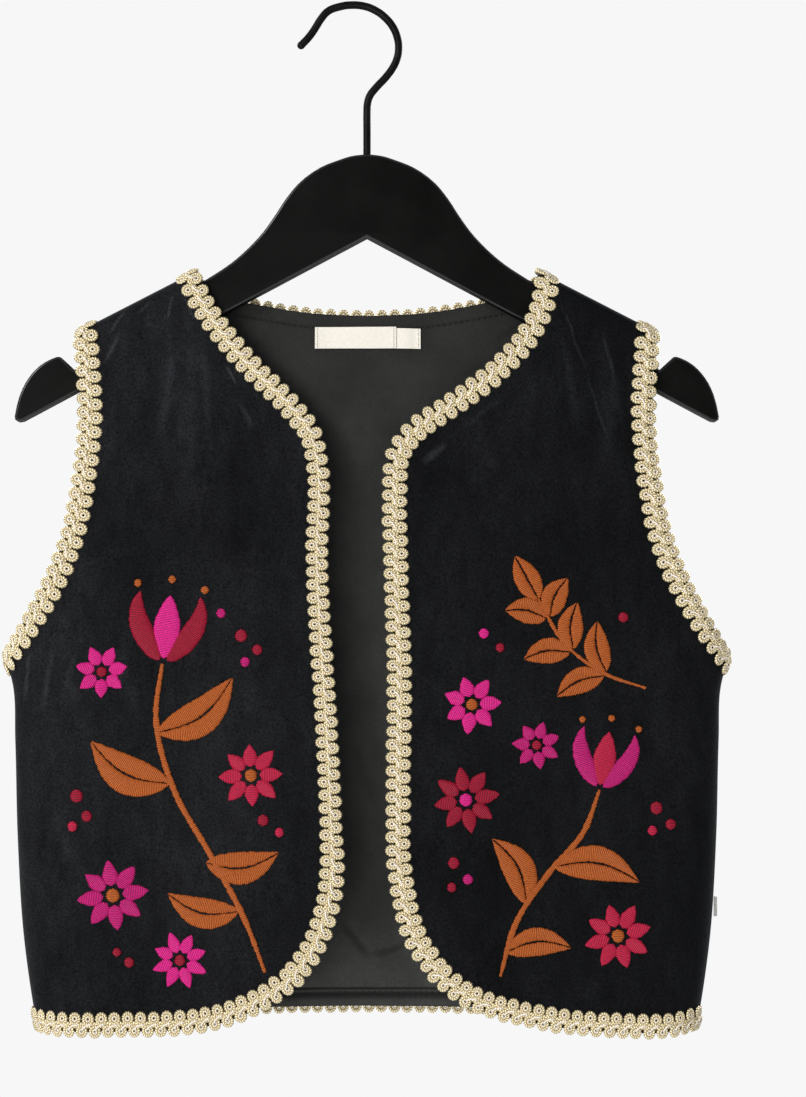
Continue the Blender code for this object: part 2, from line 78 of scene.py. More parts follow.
def curve_through(points, steps=8):
    """Samples of a smooth curve through points that may be unevenly spaced."""
    p = np.array(points, float)
    span = np.linalg.norm(np.diff(p, axis=0), axis=1)
    slope = np.diff(p, axis=0) / span[:, None]
    middle = (slope[:-1] * span[1:, None] + slope[1:] * span[:-1, None]) / (span[:-1] + span[1:])[:, None]
    tangent = np.vstack([slope[:1], middle, slope[-1:]])
    samples = [p[0]]
    for i, h in enumerate(span):
        for t in np.arange(1, steps + 1) / steps:
            start = (2 * t**3 - 3 * t**2 + 1) * p[i] + (t**3 - 2 * t**2 + t) * h * tangent[i]
            end = (3 * t**2 - 2 * t**3) * p[i + 1] + (t**3 - t**2) * h * tangent[i + 1]
            samples.append(start + end)
    return np.array(samples)


def select_where(obj, kind, test):
    """In edit mode, select just the verts, edges or faces that pass the test."""
    bpy.ops.mesh.select_mode(type=kind)
    bpy.ops.mesh.select_all(action="DESELECT")
    bm = bmesh.from_edit_mesh(obj.data)
    group = {"VERT": bm.verts, "EDGE": bm.edges, "FACE": bm.faces}[kind]
    for item in group:
        if test(item):
            item.select_set(True)
    bmesh.update_edit_mesh(obj.data)


def plug(tree, node, key, value):
    """Fill one input of a node: a value is set, and another node's output is linked."""
    if isinstance(value, bpy.types.NodeSocket):
        tree.links.new(value, node.inputs[key])
    else:
        node.inputs[key].default_value = value


def new_material(name, **values):
    """A material, its node tree and its Principled shader, with values on the shader's sockets."""
    made = bpy.data.materials.new(name)
    made.use_nodes = True
    shader = made.node_tree.nodes["Principled BSDF"]
    for key, value in values.items():
        plug(made.node_tree, shader, key.replace("_", " "), value)
    return made, made.node_tree, shader


def put(tree, kind, settings=None, *inputs, **named):
    """Add a node, with settings on the node and its inputs filled in order or by name."""
    node = tree.nodes.new(kind)
    for key, value in (settings or {}).items():
        setattr(node, key, value)
    for key, value in enumerate(inputs):
        plug(tree, node, key, value)
    for key, value in named.items():
        plug(tree, node, key.replace("_", " "), value)
    return node


def blend(tree, factor, first, second, way="MIX"):
    """Two colours blended, as the output of a Mix node."""
    node = put(tree, "ShaderNodeMix", {"data_type": "RGBA", "blend_type": way}, Factor=factor)
    plug(tree, node, 6, first)
    plug(tree, node, 7, second)
    return node.outputs[2]


def group_tree(name, inputs, outputs):
    """A shader node group with named sockets, what is given to it, and its output node."""
    tree = bpy.data.node_groups.new(name, "ShaderNodeTree")
    for way, sockets in (("INPUT", inputs), ("OUTPUT", outputs)):
        for label, kind in sockets:
            tree.interface.new_socket(name=label, in_out=way, socket_type="NodeSocket" + kind)
    return tree, tree.nodes.new("NodeGroupInput").outputs, tree.nodes.new("NodeGroupOutput")


def uneven_tone_group():
    """Soft patches between two colours, as paint, pile and yarn have."""
    tree, given, leave = group_tree(
        "uneven tone",
        (("Vector", "Vector"), ("Dark", "Color"), ("Light", "Color"), ("Scale", "Float"), ("Low", "Float"),
         ("High", "Float")),
        (("Colour", "Color"), ("Amount", "Float")),
    )
    noise = put(tree, "ShaderNodeTexNoise", Vector=given["Vector"], Scale=given["Scale"], Detail=5.0,
                Roughness=0.6)
    spread = put(tree, "ShaderNodeMapRange", Value=noise.outputs["Fac"], From_Min=given["Low"],
                 From_Max=given["High"]).outputs["Result"]
    plug(tree, leave, "Colour", blend(tree, spread, given["Dark"], given["Light"]))
    plug(tree, leave, "Amount", spread)
    return tree


uneven_tone = uneven_tone_group()


def tone(tree, vector, dark, light, scale, low=0.35, high=0.65):
    """The Colour and Amount of an uneven tone."""
    return put(tree, "ShaderNodeGroup", {"node_tree": uneven_tone}, Vector=vector, Dark=(*dark, 1),
               Light=(*light, 1), Scale=scale, Low=low, High=high).outputs


def relief(tree, shader, height, strength, distance):
    """Low relief on a surface, as a Bump node on its normal."""
    bump = put(tree, "ShaderNodeBump", Strength=strength, Distance=distance, Height=height)
    plug(tree, shader, "Normal", bump.outputs["Normal"])


def object_place(tree):
    """Object coordinates, which keep a pattern still on its piece."""
    return put(tree, "ShaderNodeTexCoord").outputs["Object"]


def black_paint():
    """Satin black spray paint over closed wood grain; handling has polished its rounded edges."""
    made, tree, shader = new_material("satin black paint", Specular_IOR_Level=0.035, Coat_Roughness=0.22)
    rim = put(tree, "ShaderNodeAttribute", {"attribute_name": "rim"})
    plug(tree, shader, "Coat Weight", rim.outputs["Fac"])
    place = object_place(tree)
    colour = tone(tree, place, (0.0028, 0.0027, 0.0025), (0.0046, 0.0045, 0.0042), 45.0)
    plug(tree, shader, "Base Color", colour["Colour"])
    rough = put(tree, "ShaderNodeMapRange", Value=colour["Amount"], To_Min=0.4, To_Max=0.54)
    plug(tree, shader, "Roughness", rough.outputs["Result"])
    along_grain = put(tree, "ShaderNodeMapping", Vector=place, Scale=(0.15, 1.0, 1.0))
    grain = put(tree, "ShaderNodeTexNoise", Vector=along_grain.outputs["Vector"], Scale=900.0, Detail=3.0)
    relief(tree, shader, grain.outputs["Fac"], 0.12, 0.0001)
    return made


def arm_point(x):
    """Top of the arm, straight where it shows and arched a little under the cloth."""
    share = (x - BAR_TOP[-1][0]) / (ARM_END[0] - BAR_TOP[-1][0])
    return x, BAR_TOP[-1][1] - ARM_SLOPE * (x - BAR_TOP[-1][0]) + ARM_ARCH * math.sin(math.pi * share)


def bar_outline():
    """The bar's whole outline in x, z: its right half, the apex below, and the half mirrored."""
    arm = [arm_point(x) for x in (92.0, 104.0, 118.0)]
    half = [tuple(p) for p in curve_through(BAR_TOP, 3)] + arm + list(BAR_NOTCH)
    half += [tuple(p) for p in curve_through(BAR_TIP, 2)] + list(BAR_LOWER_TIP)
    return half + [(0.0, BAR_APEX_Z)] + [(-x, z) for x, z in reversed(half[1:])]


outline = bar_outline()
deselect()
bpy.ops.mesh.primitive_circle_add(vertices=len(outline), radius=0.1, fill_type="NGON")
bar = bpy.context.object
bar.name = bar.data.name = "painted_bar"
for vert, (x, z) in zip(bar.data.vertices, outline):
    vert.co = (x * MM, -BAR_THICKNESS / 2 * MM, z * MM)
bpy.ops.object.mode_set(mode="EDIT")
bpy.ops.mesh.select_all(action="SELECT")
bpy.ops.mesh.extrude_region_move(TRANSFORM_OT_translate={"value": (0, BAR_THICKNESS * MM, 0)})
bpy.ops.mesh.select_all(action="SELECT")
bpy.ops.mesh.normals_make_consistent(inside=False)
select_where(bar, "EDGE", lambda e: abs(e.verts[0].co.y - e.verts[1].co.y) < 1e-6)
bpy.ops.mesh.bevel(offset=BAR_ROUND * MM, segments=4, profile=0.5, clamp_overlap=True)
bpy.ops.mesh.select_all(action="SELECT")
bpy.ops.mesh.normals_make_consistent(inside=False)
bpy.ops.object.mode_set(mode="OBJECT")
bpy.ops.object.shade_smooth_by_angle(angle=math.radians(35))
rim_inner = (BAR_THICKNESS / 2 - BAR_ROUND + 0.05) * MM
rim_outer = (BAR_THICKNESS / 2 - 0.01) * MM
rim_values = [float(rim_inner < abs(v.co.y) < rim_outer) for v in bar.data.vertices]
bar.data.attributes.new("rim", "FLOAT", "POINT").data.foreach_set("value", rim_values)
bar.data.materials.append(black_paint())
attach(bar, "root")
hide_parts("hanger_bar")


# Hook. One length of steel wire, bent round a mandrel and coated black, 3.9 mm over the coat.
# Its free end has a small dipped bead, and its stem is driven into the bar.
WIRE_RADIUS = 1.95
BEAD_RADIUS = 2.05
STEM_DEPTH = 15.0
HOOK_LINE = (
    (-32.9, -17.4), (-28.8, -13.0), (-25.8, -8.7), (-23.2, -4.5), (-19.5, -0.4), (-13.6, 1.9),
    (-7.8, 2.7), (-1.2, 2.1), (4.2, 0.0), (8.8, -3.3), (12.9, -8.2), (15.2, -13.7), (15.8, -18.7),
    (15.0, -24.0), (12.9, -28.6), (9.2, -33.6), (4.6, -38.5), (1.4, -42.7), (0.2, -46.8),
    (0.0, -50.0), (0.0, -60.0), (0.0, BAR_TOP[0][1] - STEM_DEPTH),
)


def toned_material(name, dark, light, scale, strength, distance, **values):
    """A material whose colour and low relief follow one uneven tone."""
    made, tree, shader = new_material(name, **values)
    shade = tone(tree, object_place(tree), dark, light, scale)
    plug(tree, shader, "Base Color", shade["Colour"])
    relief(tree, shader, shade["Amount"], strength, distance)
    return made


def black_coat():
    """Hard black coating on wire, glossier than the bar."""
    return toned_material(
        "black coated wire", (0.003, 0.003, 0.0032), (0.007, 0.007, 0.0075), 160.0, 0.08, 0.0001,
        Roughness=0.36, Specular_IOR_Level=0.04, Coat_Weight=0.04, Coat_Roughness=0.25,
    )


deselect()
bpy.ops.curve.primitive_bezier_curve_add(radius=0.01)
hook = bpy.context.object
hook.name = "wire_hook"
spline = hook.data.splines[0]
spline.bezier_points.add(len(HOOK_LINE) - len(spline.bezier_points))
for point, (x, z) in zip(spline.bezier_points, HOOK_LINE):
    point.co = (x * MM, 0, z * MM)
    point.handle_left_type = point.handle_right_type = "AUTO"
hook.data.dimensions = "3D"
hook.data.resolution_u = 6
hook.data.bevel_depth = WIRE_RADIUS * MM
hook.data.bevel_resolution = 5
hook.data.use_fill_caps = True
bpy.ops.object.convert(target="MESH")
hook = bpy.context.object
bpy.ops.object.mode_set(mode="EDIT")
bpy.ops.mesh.select_all(action="SELECT")
bpy.ops.mesh.remove_doubles(threshold=1e-6)
bpy.ops.mesh.normals_make_consistent(inside=False)
bpy.ops.object.mode_set(mode="OBJECT")
deselect()
bpy.ops.mesh.primitive_uv_sphere_add(
    segments=20, ring_count=12, radius=BEAD_RADIUS * MM,
    location=(HOOK_LINE[0][0] * MM, 0, HOOK_LINE[0][1] * MM),
)
bead = bpy.context.object
choose(hook)
union = hook.modifiers.new("bead", "BOOLEAN")
union.operation = "UNION"
union.object = bead
bpy.ops.object.modifier_apply(modifier=union.name)
bpy.data.objects.remove(bead, do_unlink=True)
bpy.ops.object.shade_smooth_by_angle(angle=math.radians(50))
hook.data.name = "wire_hook"
hook.data.materials.clear()
hook.data.materials.append(black_coat())
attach(hook, "root")
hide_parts("hanger_hook")


# Back. One piece of short-pile cotton velvet, joined to the fronts at the shoulders and the
# sides. It hangs over the bar and rounds away to each side seam.
WALL = 2.0
GAP = 0.3
NECK_POINT_X, NECK_POINT_Z = 86.5, -131.0
SHOULDER_END_X, SHOULDER_END_Z = 143.5, -160.27
SHOULDER_SLOPE = (NECK_POINT_Z - SHOULDER_END_Z) / (SHOULDER_END_X - NECK_POINT_X)
SHOULDER_ROLL = 7.0
SHOULDER_POWER = 2.5
UNDERARM = (181.2, -322.0)
SIDE_ROLL = 30.0
DEPTH_Z = (-512.0, -450.0, -400.0, -350.0, -300.0, -250.0, -200.0, -160.0)
DEPTH_Y = (22.5, 23.0, 22.0, 20.0, 17.0, 14.0, 11.2, 10.0)
CREASE_START = 25.0
# Crease mask on the velvet: where it starts, where it is full, and the extra painted light on slopes that
# face the left.
CRUSH_SHEEN_START, CRUSH_SHEEN_FULL, PAINTED_LIT_SLOPE = 0.045, 1.1, 0.8
SURFACE_STEP = 0.02
ARMHOLE = (
    (SHOULDER_END_X, SHOULDER_END_Z), (142.4, -175.0), (141.1, -207.0), (144.2, -236.0), (149.0, -261.0),
    (157.6, -283.4), (168.3, -302.8), UNDERARM,
)
SIDE_SEAM = (
    UNDERARM, (177.0, -337.0), (175.8, -364.0), (174.5, -414.0), (171.3, -464.0), (168.0, -489.0),
    (165.0, -507.0),
)
BACK_NECK = (
    (NECK_POINT_X, NECK_POINT_Z), (84.8, -135.5), (80.5, -139.5), (72.0, -143.0), (57.0, -146.2),
    (30.0, -150.6), (0.0, -152.3),
)
BACK_HEM = ((165.0, -507.0), (130.0, -505.5), (80.0, -502.5), (40.0, -501.0), (0.0, -500.5))
ARMHOLE_ROWS = 56
SIDE_ROWS = 60
ROLL_ROWS = 14
HALF_COLUMNS = 80

# Soft creases: face (-1 front, 1 back), top x, z, end x, z, half width, height. A trough is negative.
CREASES = (
    (-1, -101.0, -146.0, -108.0, -205.0, 8.0, -1.8), (-1, -80.0, -170.0, -82.0, -262.0, 11.0, 2.2),
    (-1, -76.0, -160.0, -60.0, -206.0, 6.0, -1.5), (-1, -138.0, -300.0, -112.0, -366.0, 9.0, -1.8),
    (-1, -92.0, -140.0, -125.0, -178.0, 4.5, -0.9), (-1, -90.0, -142.0, -92.0, -215.0, 4.0, -0.8),
    (-1, -68.0, -172.0, -50.0, -214.0, 3.5, -0.6), (-1, -118.0, -168.0, -128.0, -240.0, 6.0, 1.0),
    (-1, -152.0, -318.0, -132.0, -352.0, 5.0, 1.1), (-1, -60.0, -250.0, -52.0, -380.0, 14.0, 1.2),
    (-1, -110.0, -380.0, -96.0, -500.0, 16.0, -1.3), (-1, -160.0, -360.0, -150.0, -470.0, 9.0, -1.0),
    (-1, 112.0, -146.0, 114.0, -240.0, 8.0, -1.9), (-1, 129.0, -165.0, 128.0, -245.0, 8.0, 1.7),
    (-1, 64.0, -212.0, 30.0, -246.0, 8.0, -1.6), (-1, 140.0, -470.0, 96.0, -512.0, 10.0, 1.8),
    (-1, 94.0, -142.0, 102.0, -222.0, 4.0, -0.9), (-1, 122.0, -156.0, 138.0, -222.0, 3.5, -0.8),
    (-1, 88.0, -160.0, 80.0, -235.0, 5.0, 0.9), (-1, 150.0, -305.0, 118.0, -345.0, 7.0, -1.1),
    (-1, 40.0, -260.0, 48.0, -400.0, 15.0, 1.2), (-1, 92.0, -350.0, 104.0, -480.0, 15.0, -1.2),
    (-1, 160.0, -350.0, 152.0, -480.0, 9.0, 1.0), (-1, 60.0, -440.0, 84.0, -508.0, 9.0, -0.9),
    (1, -100.0, -150.0, -60.0, -260.0, 10.0, -1.5), (1, 104.0, -150.0, 66.0, -268.0, 11.0, -1.6),
    (1, -132.0, -170.0, -120.0, -280.0, 9.0, 1.3), (1, 134.0, -172.0, 118.0, -290.0, 8.0, 1.4),
    (1, -150.0, -310.0, -96.0, -372.0, 8.0, -1.6), (1, 152.0, -312.0, 104.0, -362.0, 9.0, -1.4),
    (1, -20.0, -170.0, -34.0, -330.0, 16.0, 1.4), (1, 30.0, -210.0, 22.0, -420.0, 17.0, -1.3),
    (1, -70.0, -330.0, -84.0, -500.0, 16.0, 1.6), (1, 84.0, -360.0, 70.0, -505.0, 14.0, 1.5),
    (1, -10.0, -390.0, -4.0, -505.0, 12.0, -1.4), (1, 130.0, -400.0, 122.0, -505.0, 10.0, -1.2),
    (1, -128.0, -420.0, -132.0, -506.0, 9.0, -1.1), (1, 0.0, -300.0, 40.0, -345.0, 12.0, 0.9),
)


def lengths(curve):
    """The distance along a curve at each of its samples."""
    return np.concatenate([[0.0], np.cumsum(np.linalg.norm(np.diff(curve, axis=0), axis=1))])


def along(curve, distance):
    """The points of a curve at these distances along it."""
    s = lengths(curve)
    return np.stack([np.interp(distance, s, curve[:, k]) for k in range(curve.shape[1])], axis=-1)


SIDE_CURVE = curve_through(SIDE_SEAM)[::-1]


def shoulder_line(x):
    """Height of the shoulder seam at x."""
    return NECK_POINT_Z - SHOULDER_SLOPE * (np.abs(x) - NECK_POINT_X)


def side_line(z):
    """The side seam's x at a height z."""
    return np.interp(z, SIDE_CURVE[:, 1], SIDE_CURVE[:, 0])


def crease_height(x, z, face):
    """How far the creases and the cloth's own waviness stand out at x, z."""
    total = 0.25 * np.sin(x / 17.0 + 1.3 * face) * np.sin(z / 23.0 + x / 61.0)
    total = total + 0.18 * np.sin(x / 7.3 + z / 31.0) * np.sin(z / 11.7 - 0.7 * face)
    for side, x0, z0, x1, z1, width, height in CREASES:
        if side != face:
            continue
        a, b = np.array((x0, z0)), np.array((x1, z1))
        reach = np.linalg.norm(b - a)
        run = (b - a) / reach
        t = ((x - a[0]) * run[0] + (z - a[1]) * run[1]) / reach
        off = (x - a[0]) * run[1] - (z - a[1]) * run[0]
        total = total + height * np.exp(-((off / width) ** 2)) * np.sin(math.pi * np.clip(t, 0, 1)) ** 2
    return total


def half_depth(x, z, face):
    """Half the worn form's thickness at x, z; face is -1 for the front and 1 for the back."""
    inset = np.clip((side_line(z) - np.abs(x)) / SIDE_ROLL, 0, 1)
    side = np.sqrt(1 - (1 - inset) ** 2)
    drop = np.clip((shoulder_line(x) - z) / SHOULDER_ROLL, 0, 1)
    shoulder = (1 - (1 - drop) ** SHOULDER_POWER) ** (1 / SHOULDER_POWER)
    settled = np.clip((shoulder_line(x) - z) / CREASE_START, 0, 1)
    body = np.interp(z, DEPTH_Z, DEPTH_Y) - GAP / 2 + crease_height(x, z, face) * side**2 * settled
    return GAP / 2 + body * side * shoulder


def skin(x, z, face):
    """Points of the cloth's outer face and the way that it faces, for arrays of x and z."""
    step = SURFACE_STEP
    y = half_depth(x, z, face)
    dx = (half_depth(x + step, z, face) - half_depth(x - step, z, face)) / (2 * step)
    dz = (half_depth(x, z + step, face) - half_depth(x, z - step, face)) / (2 * step)
    at_seam = y <= GAP / 2 + 1e-6
    on_shoulder = at_seam & (z > UNDERARM[1] + 20)
    nx = np.where(at_seam, np.where(on_shoulder, np.sign(x) * SHOULDER_SLOPE, np.sign(x)), -dx)
    nz = np.where(at_seam, np.where(on_shoulder, 1.0, 0.0), -dz)
    normal = np.stack([nx, np.where(at_seam, 0.0, face), nz], axis=-1)
    normal /= np.linalg.norm(normal, axis=-1)[..., None]
    return np.stack([x, face * y, z], axis=-1), normal


def outer_curve():
    """Armhole and side seam as one curve, and the armhole's own length."""
    armhole = curve_through(ARMHOLE)
    return np.vstack([armhole, curve_through(SIDE_SEAM)[1:]]), lengths(armhole)[-1]


def row_places(underarm, last):
    """Distances of the rows along an edge: the shoulder's roll, the armhole, then the side."""
    roll = SHOULDER_ROLL * (1 - np.cos(np.linspace(0, math.pi / 2, ROLL_ROWS))) ** 1.6
    upper = np.linspace(SHOULDER_ROLL, underarm, ARMHOLE_ROWS + 1)[1:]
    return np.concatenate([roll, upper, np.linspace(underarm, last, SIDE_ROWS + 1)[1:]])


def back_top(x):
    """Height of the back's upper edge: shoulder seams and neck."""
    neck = curve_through(BACK_NECK)[::-1]
    return np.where(np.abs(x) < NECK_POINT_X, np.interp(np.abs(x), neck[:, 0], neck[:, 1]), shoulder_line(x))


def back_grid(half, places, top_of, hem_lift):
    """x and z of a grid over the back; half holds its columns from the side (1) to the middle (0)."""
    outer, armhole_length = outer_curve()
    a = along(outer, places)
    x = a[:, :1] * np.concatenate([-half, half[-2::-1]])[None]
    upper = np.clip((places - places[0]) / (armhole_length - places[0]), 0, 1)
    lower = np.clip((places - armhole_length) / (places[-1] - armhole_length), 0, 1)
    keep = 1 - upper**2 * (3 - 2 * upper)
    hem = curve_through(BACK_HEM)[::-1]
    bottom = np.interp(np.abs(x[-1]), hem[:, 0], hem[:, 1]) + hem_lift
    z = a[:, 1:] + keep[:, None] * (top_of(x[0]) - a[0, 1])[None]
    return np.stack([x, z + (lower**2)[:, None] * (bottom - a[-1, 1])[None]], axis=-1)


def mesh_piece(name, points, faces, finish, uv=None):
    """An object from points in millimetres, with a UV for each corner; a finish is one or several."""
    mesh = bpy.data.meshes.new(name)
    mesh.from_pydata([tuple(p) for p in np.asarray(points) * MM], [], faces)
    if uv is not None:
        mesh.uv_layers.new(name="UVMap").data.foreach_set("uv", np.asarray(uv, float).ravel())
    for one in finish if isinstance(finish, (list, tuple)) else [finish]:
        mesh.materials.append(one)
    mesh.shade_smooth()
    obj = bpy.data.objects.new(name, mesh)
    bpy.context.scene.collection.objects.link(obj)
    return obj


def face_outwards(obj):
    """Turn every face of a closed piece outwards."""
    bm = bmesh.new()
    bm.from_mesh(obj.data)
    bmesh.ops.recalc_face_normals(bm, faces=bm.faces)
    bm.to_mesh(obj.data)
    bm.free()


def cloth_wall(name, outside, inside, finish):
    """A cloth wall between two grids of points, closed all round its edge."""
    rows, columns = outside.shape[:2]
    count = rows * columns
    faces = []
    for r in range(rows - 1):
        for c in range(columns - 1):
            a = r * columns + c
            quad = (a, a + 1, a + columns + 1, a + columns)
            faces += [quad, tuple(count + i for i in reversed(quad))]
    rim = list(range(columns)) + [r * columns + columns - 1 for r in range(1, rows)]
    rim += [(rows - 1) * columns + c for c in range(columns - 2, -1, -1)]
    rim += [r * columns for r in range(rows - 2, 0, -1)]
    for a, b in zip(rim, rim[1:] + rim[:1]):
        faces.append((a, a + count, b + count, b))
    obj = mesh_piece(name, np.vstack([outside.reshape(-1, 3), inside.reshape(-1, 3)]), faces, finish)
    face_outwards(obj)
    obj.data.set_sharp_from_angle(angle=math.radians(60))
    return obj


# Thin creases that the fronts keep from folding, painted on the velvet as lighter lines, partly crushed pile
# and partly painted sheen: x, z of both ends, half width, strength. The noise that makes them crooked moves
# them by up to the wander.
CREASE_WANDER = 3.5
FINE_CREASES = (
    (-96.1, -140.3, -99.8, -157.4, 1.0, 0.8), (-119.9, -149.9, -128.0, -162.6, 1.3, 0.9),
    (-122.1, -159.6, -131.0, -178.9, 1.7, 0.8), (-70.1, -177.4, -64.2, -188.6, 1.4, 1.0),
    (-95.4, -162.6, -102.8, -220.5, 4.0, 0.4), (-82.0, -165.5, -77.5, -214.6, 3.8, 0.35),
    (-64.2, -195.2, -55.3, -211.6, 2.6, 0.45), (-107.2, -146.2, -114.7, -153.6, 1.1, 0.7),
    (-92.4, -142.5, -83.5, -156.6, 1.0, 0.5), (-166.0, -318.0, -170.0, -347.0, 1.8, 0.8),
    (-154.0, -312.0, -161.0, -352.0, 2.4, 0.55), (-143.0, -318.0, -151.0, -346.0, 2.4, 0.35),
    (96.2, -144.8, 111.0, -186.0, 1.0, 0.65), (108.0, -177.0, 122.9, -226.4, 1.2, 0.65),
    (116.3, -158.1, 125.2, -193.8, 1.8, 0.65), (96.2, -158.1, 106.0, -214.0, 2.8, 0.35),
    (41.3, -214.6, 26.4, -227.9, 2.8, 0.8), (71.0, -190.8, 44.2, -211.6, 2.4, 0.35),
)


def calc(tree, operation, *terms, clamp=False):
    """The result of a Math node."""
    return put(tree, "ShaderNodeMath", {"operation": operation, "use_clamp": clamp}, *terms).outputs["Value"]


def vector_calc(tree, operation, *terms):
    """The outputs of a Vector Math node."""
    return put(tree, "ShaderNodeVectorMath", {"operation": operation}, *terms).outputs


def fine_crease_group():
    """A thin line between two places in the x, z plane, faint at both ends."""
    tree, given, leave = group_tree(
        "fine crease",
        (("Vector", "Vector"), ("From", "Vector"), ("To", "Vector"), ("Width", "Float"),
         ("Strength", "Float")),
        (("Amount", "Float"),),
    )
    away = vector_calc(tree, "SUBTRACT", given["Vector"], given["From"])["Vector"]
    run = vector_calc(tree, "SUBTRACT", given["To"], given["From"])["Vector"]
    dot = vector_calc(tree, "DOT_PRODUCT", away, run)["Value"]
    square = vector_calc(tree, "DOT_PRODUCT", run, run)["Value"]
    share = calc(tree, "DIVIDE", dot, square, clamp=True)
    foot = put(tree, "ShaderNodeVectorMath", {"operation": "SCALE"}, run, Scale=share).outputs["Vector"]
    off = vector_calc(tree, "DISTANCE", away, foot)["Value"]
    line = put(tree, "ShaderNodeMapRange", {"interpolation_type": "SMOOTHSTEP"}, Value=off,
               From_Max=given["Width"], To_Min=1.0, To_Max=0.0).outputs["Result"]
    fade = put(tree, "ShaderNodeMapRange", {"interpolation_type": "SMOOTHSTEP"},
               Value=calc(tree, "PINGPONG", share, 0.5), From_Max=0.35).outputs["Result"]
    faded = calc(tree, "MULTIPLY", line, fade)
    plug(tree, leave, "Amount", calc(tree, "MULTIPLY", faded, given["Strength"]))
    return tree


fine_crease = fine_crease_group()


def fine_creases(tree, place, table):
    """All the thin creases of a table together, each a little crooked."""
    wander = CREASE_WANDER * MM
    noise = put(tree, "ShaderNodeTexNoise", Vector=place, Scale=110.0, Detail=2.0).outputs["Color"]
    shifted = vector_calc(tree, "MULTIPLY_ADD", noise, (wander, 0.0, wander), place)["Vector"]
    flat = vector_calc(tree, "MULTIPLY", shifted, (1.0, 0.0, 1.0))["Vector"]
    total = 0.0
    for x0, z0, x1, z1, width, strength in table:
        start, end = [(x * MM + wander / 2, 0, z * MM + wander / 2) for x, z in ((x0, z0), (x1, z1))]
        crease = put(tree, "ShaderNodeGroup", {"node_tree": fine_crease}, Vector=flat, From=start, To=end,
                     Width=width * MM, Strength=strength)
        total = calc(tree, "MAXIMUM", crease.outputs["Amount"], total)
    return total


def velvet():
    """Blue-black velvet: short pile that shades in soft patches, with creases painted lighter as crushed pile
    and painted sheen, and painted shade darker towards the right.
    """
    made, tree, shader = new_material(
        "blue-black velvet", Roughness=0.95, Specular_IOR_Level=0.06, Sheen_Weight=0.17, Sheen_Roughness=0.3,
        Sheen_Tint=(0.44, 0.47, 0.5, 1),
    )
    place = object_place(tree)
    parts = put(tree, "ShaderNodeSeparateXYZ", Vector=place).outputs
    hanging = put(tree, "ShaderNodeMapping", Vector=place, Scale=(1.0, 1.0, 0.45)).outputs["Vector"]
    patches = tone(tree, hanging, (0.0046, 0.0048, 0.0054), (0.0100, 0.0103, 0.0116), 20.0, 0.32, 0.7)
    brushed = tone(tree, hanging, (0.68, 0.68, 0.68), (1.45, 1.45, 1.45), 130.0, 0.3, 0.7)
    pile = tone(tree, place, (0.4, 0.4, 0.4), (1.7, 1.7, 1.7), 1000.0, 0.32, 0.68)
    # Crease slopes are painted lighter: partly crushed pile, partly painted sheen and painted light from the
    # left.
    crush_and_sheen = put(tree, "ShaderNodeAttribute", {"attribute_name": "crush_and_sheen"}).outputs["Fac"]
    sheen_and_crush = calc(tree, "MULTIPLY", crush_and_sheen, brushed["Amount"])
    # Thin crease lines on the fronts are painted lighter: partly crushed pile, partly painted sheen.
    at_front = calc(tree, "LESS_THAN", parts["Y"], 0.0)
    thin = calc(tree, "MULTIPLY", fine_creases(tree, place, FINE_CREASES), at_front)
    marked = calc(tree, "MAXIMUM", sheen_and_crush, thin)
    # The lighter colour of the crease marks: crushed pile and painted sheen.
    colour = blend(tree, marked, patches["Colour"], (0.0225, 0.0235, 0.0262, 1))
    # Painted shade: the velvet is darker towards the right, as shade for light from the left.
    painted_side_shade = put(tree, "ShaderNodeMapRange", Value=parts["X"], From_Min=-0.14, From_Max=0.1, To_Min=1.12,
              To_Max=0.62).outputs["Result"]
    for shade, share in ((painted_side_shade, 1.0), (brushed["Colour"], 0.7), (pile["Colour"], 0.9)):
        colour = blend(tree, share, colour, shade, "MULTIPLY")
    plug(tree, shader, "Base Color", colour)
    relief(tree, shader, pile["Amount"], 0.5, 0.0003)
    return made


def mark_crush_and_sheen(cloth, x, z, face):
    """Give the cloth a mask that lightens its creases: crushed pile, painted sheen on every sloping side, and
    painted light on slopes that face the left.
    """
    step = 0.5
    across = (crease_height(x + step, z, face) - crease_height(x - step, z, face)) / (2 * step)
    down = (crease_height(x, z + step, face) - crease_height(x, z - step, face)) / (2 * step)
    turned = np.hypot(across, down) - CRUSH_SHEEN_START + PAINTED_LIT_SLOPE * np.maximum(0, -face * across)
    mask = np.clip(turned / CRUSH_SHEEN_FULL, 0, 1).ravel()
    cloth.data.attributes.new("crush_and_sheen", "FLOAT", "POINT").data.foreach_set("value", np.tile(mask, 2))


velvet_cloth = velvet()
half_columns = np.cos(np.linspace(0, math.pi / 2, HALF_COLUMNS))
half_columns[np.argmin(abs(half_columns - NECK_POINT_X / SHOULDER_END_X))] = NECK_POINT_X / SHOULDER_END_X
half_columns[-1] = 0
outer_edge, armhole_length = outer_curve()
grid = back_grid(half_columns, row_places(armhole_length, lengths(outer_edge)[-1]), back_top, 0)
back_outside, back_normal = skin(grid[..., 0], grid[..., 1], 1)
back = cloth_wall("velvet_back", back_outside, back_outside - WALL * back_normal, velvet_cloth)
mark_crush_and_sheen(back, grid[..., 0], grid[..., 1], 1)
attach(back, "root")
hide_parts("back")


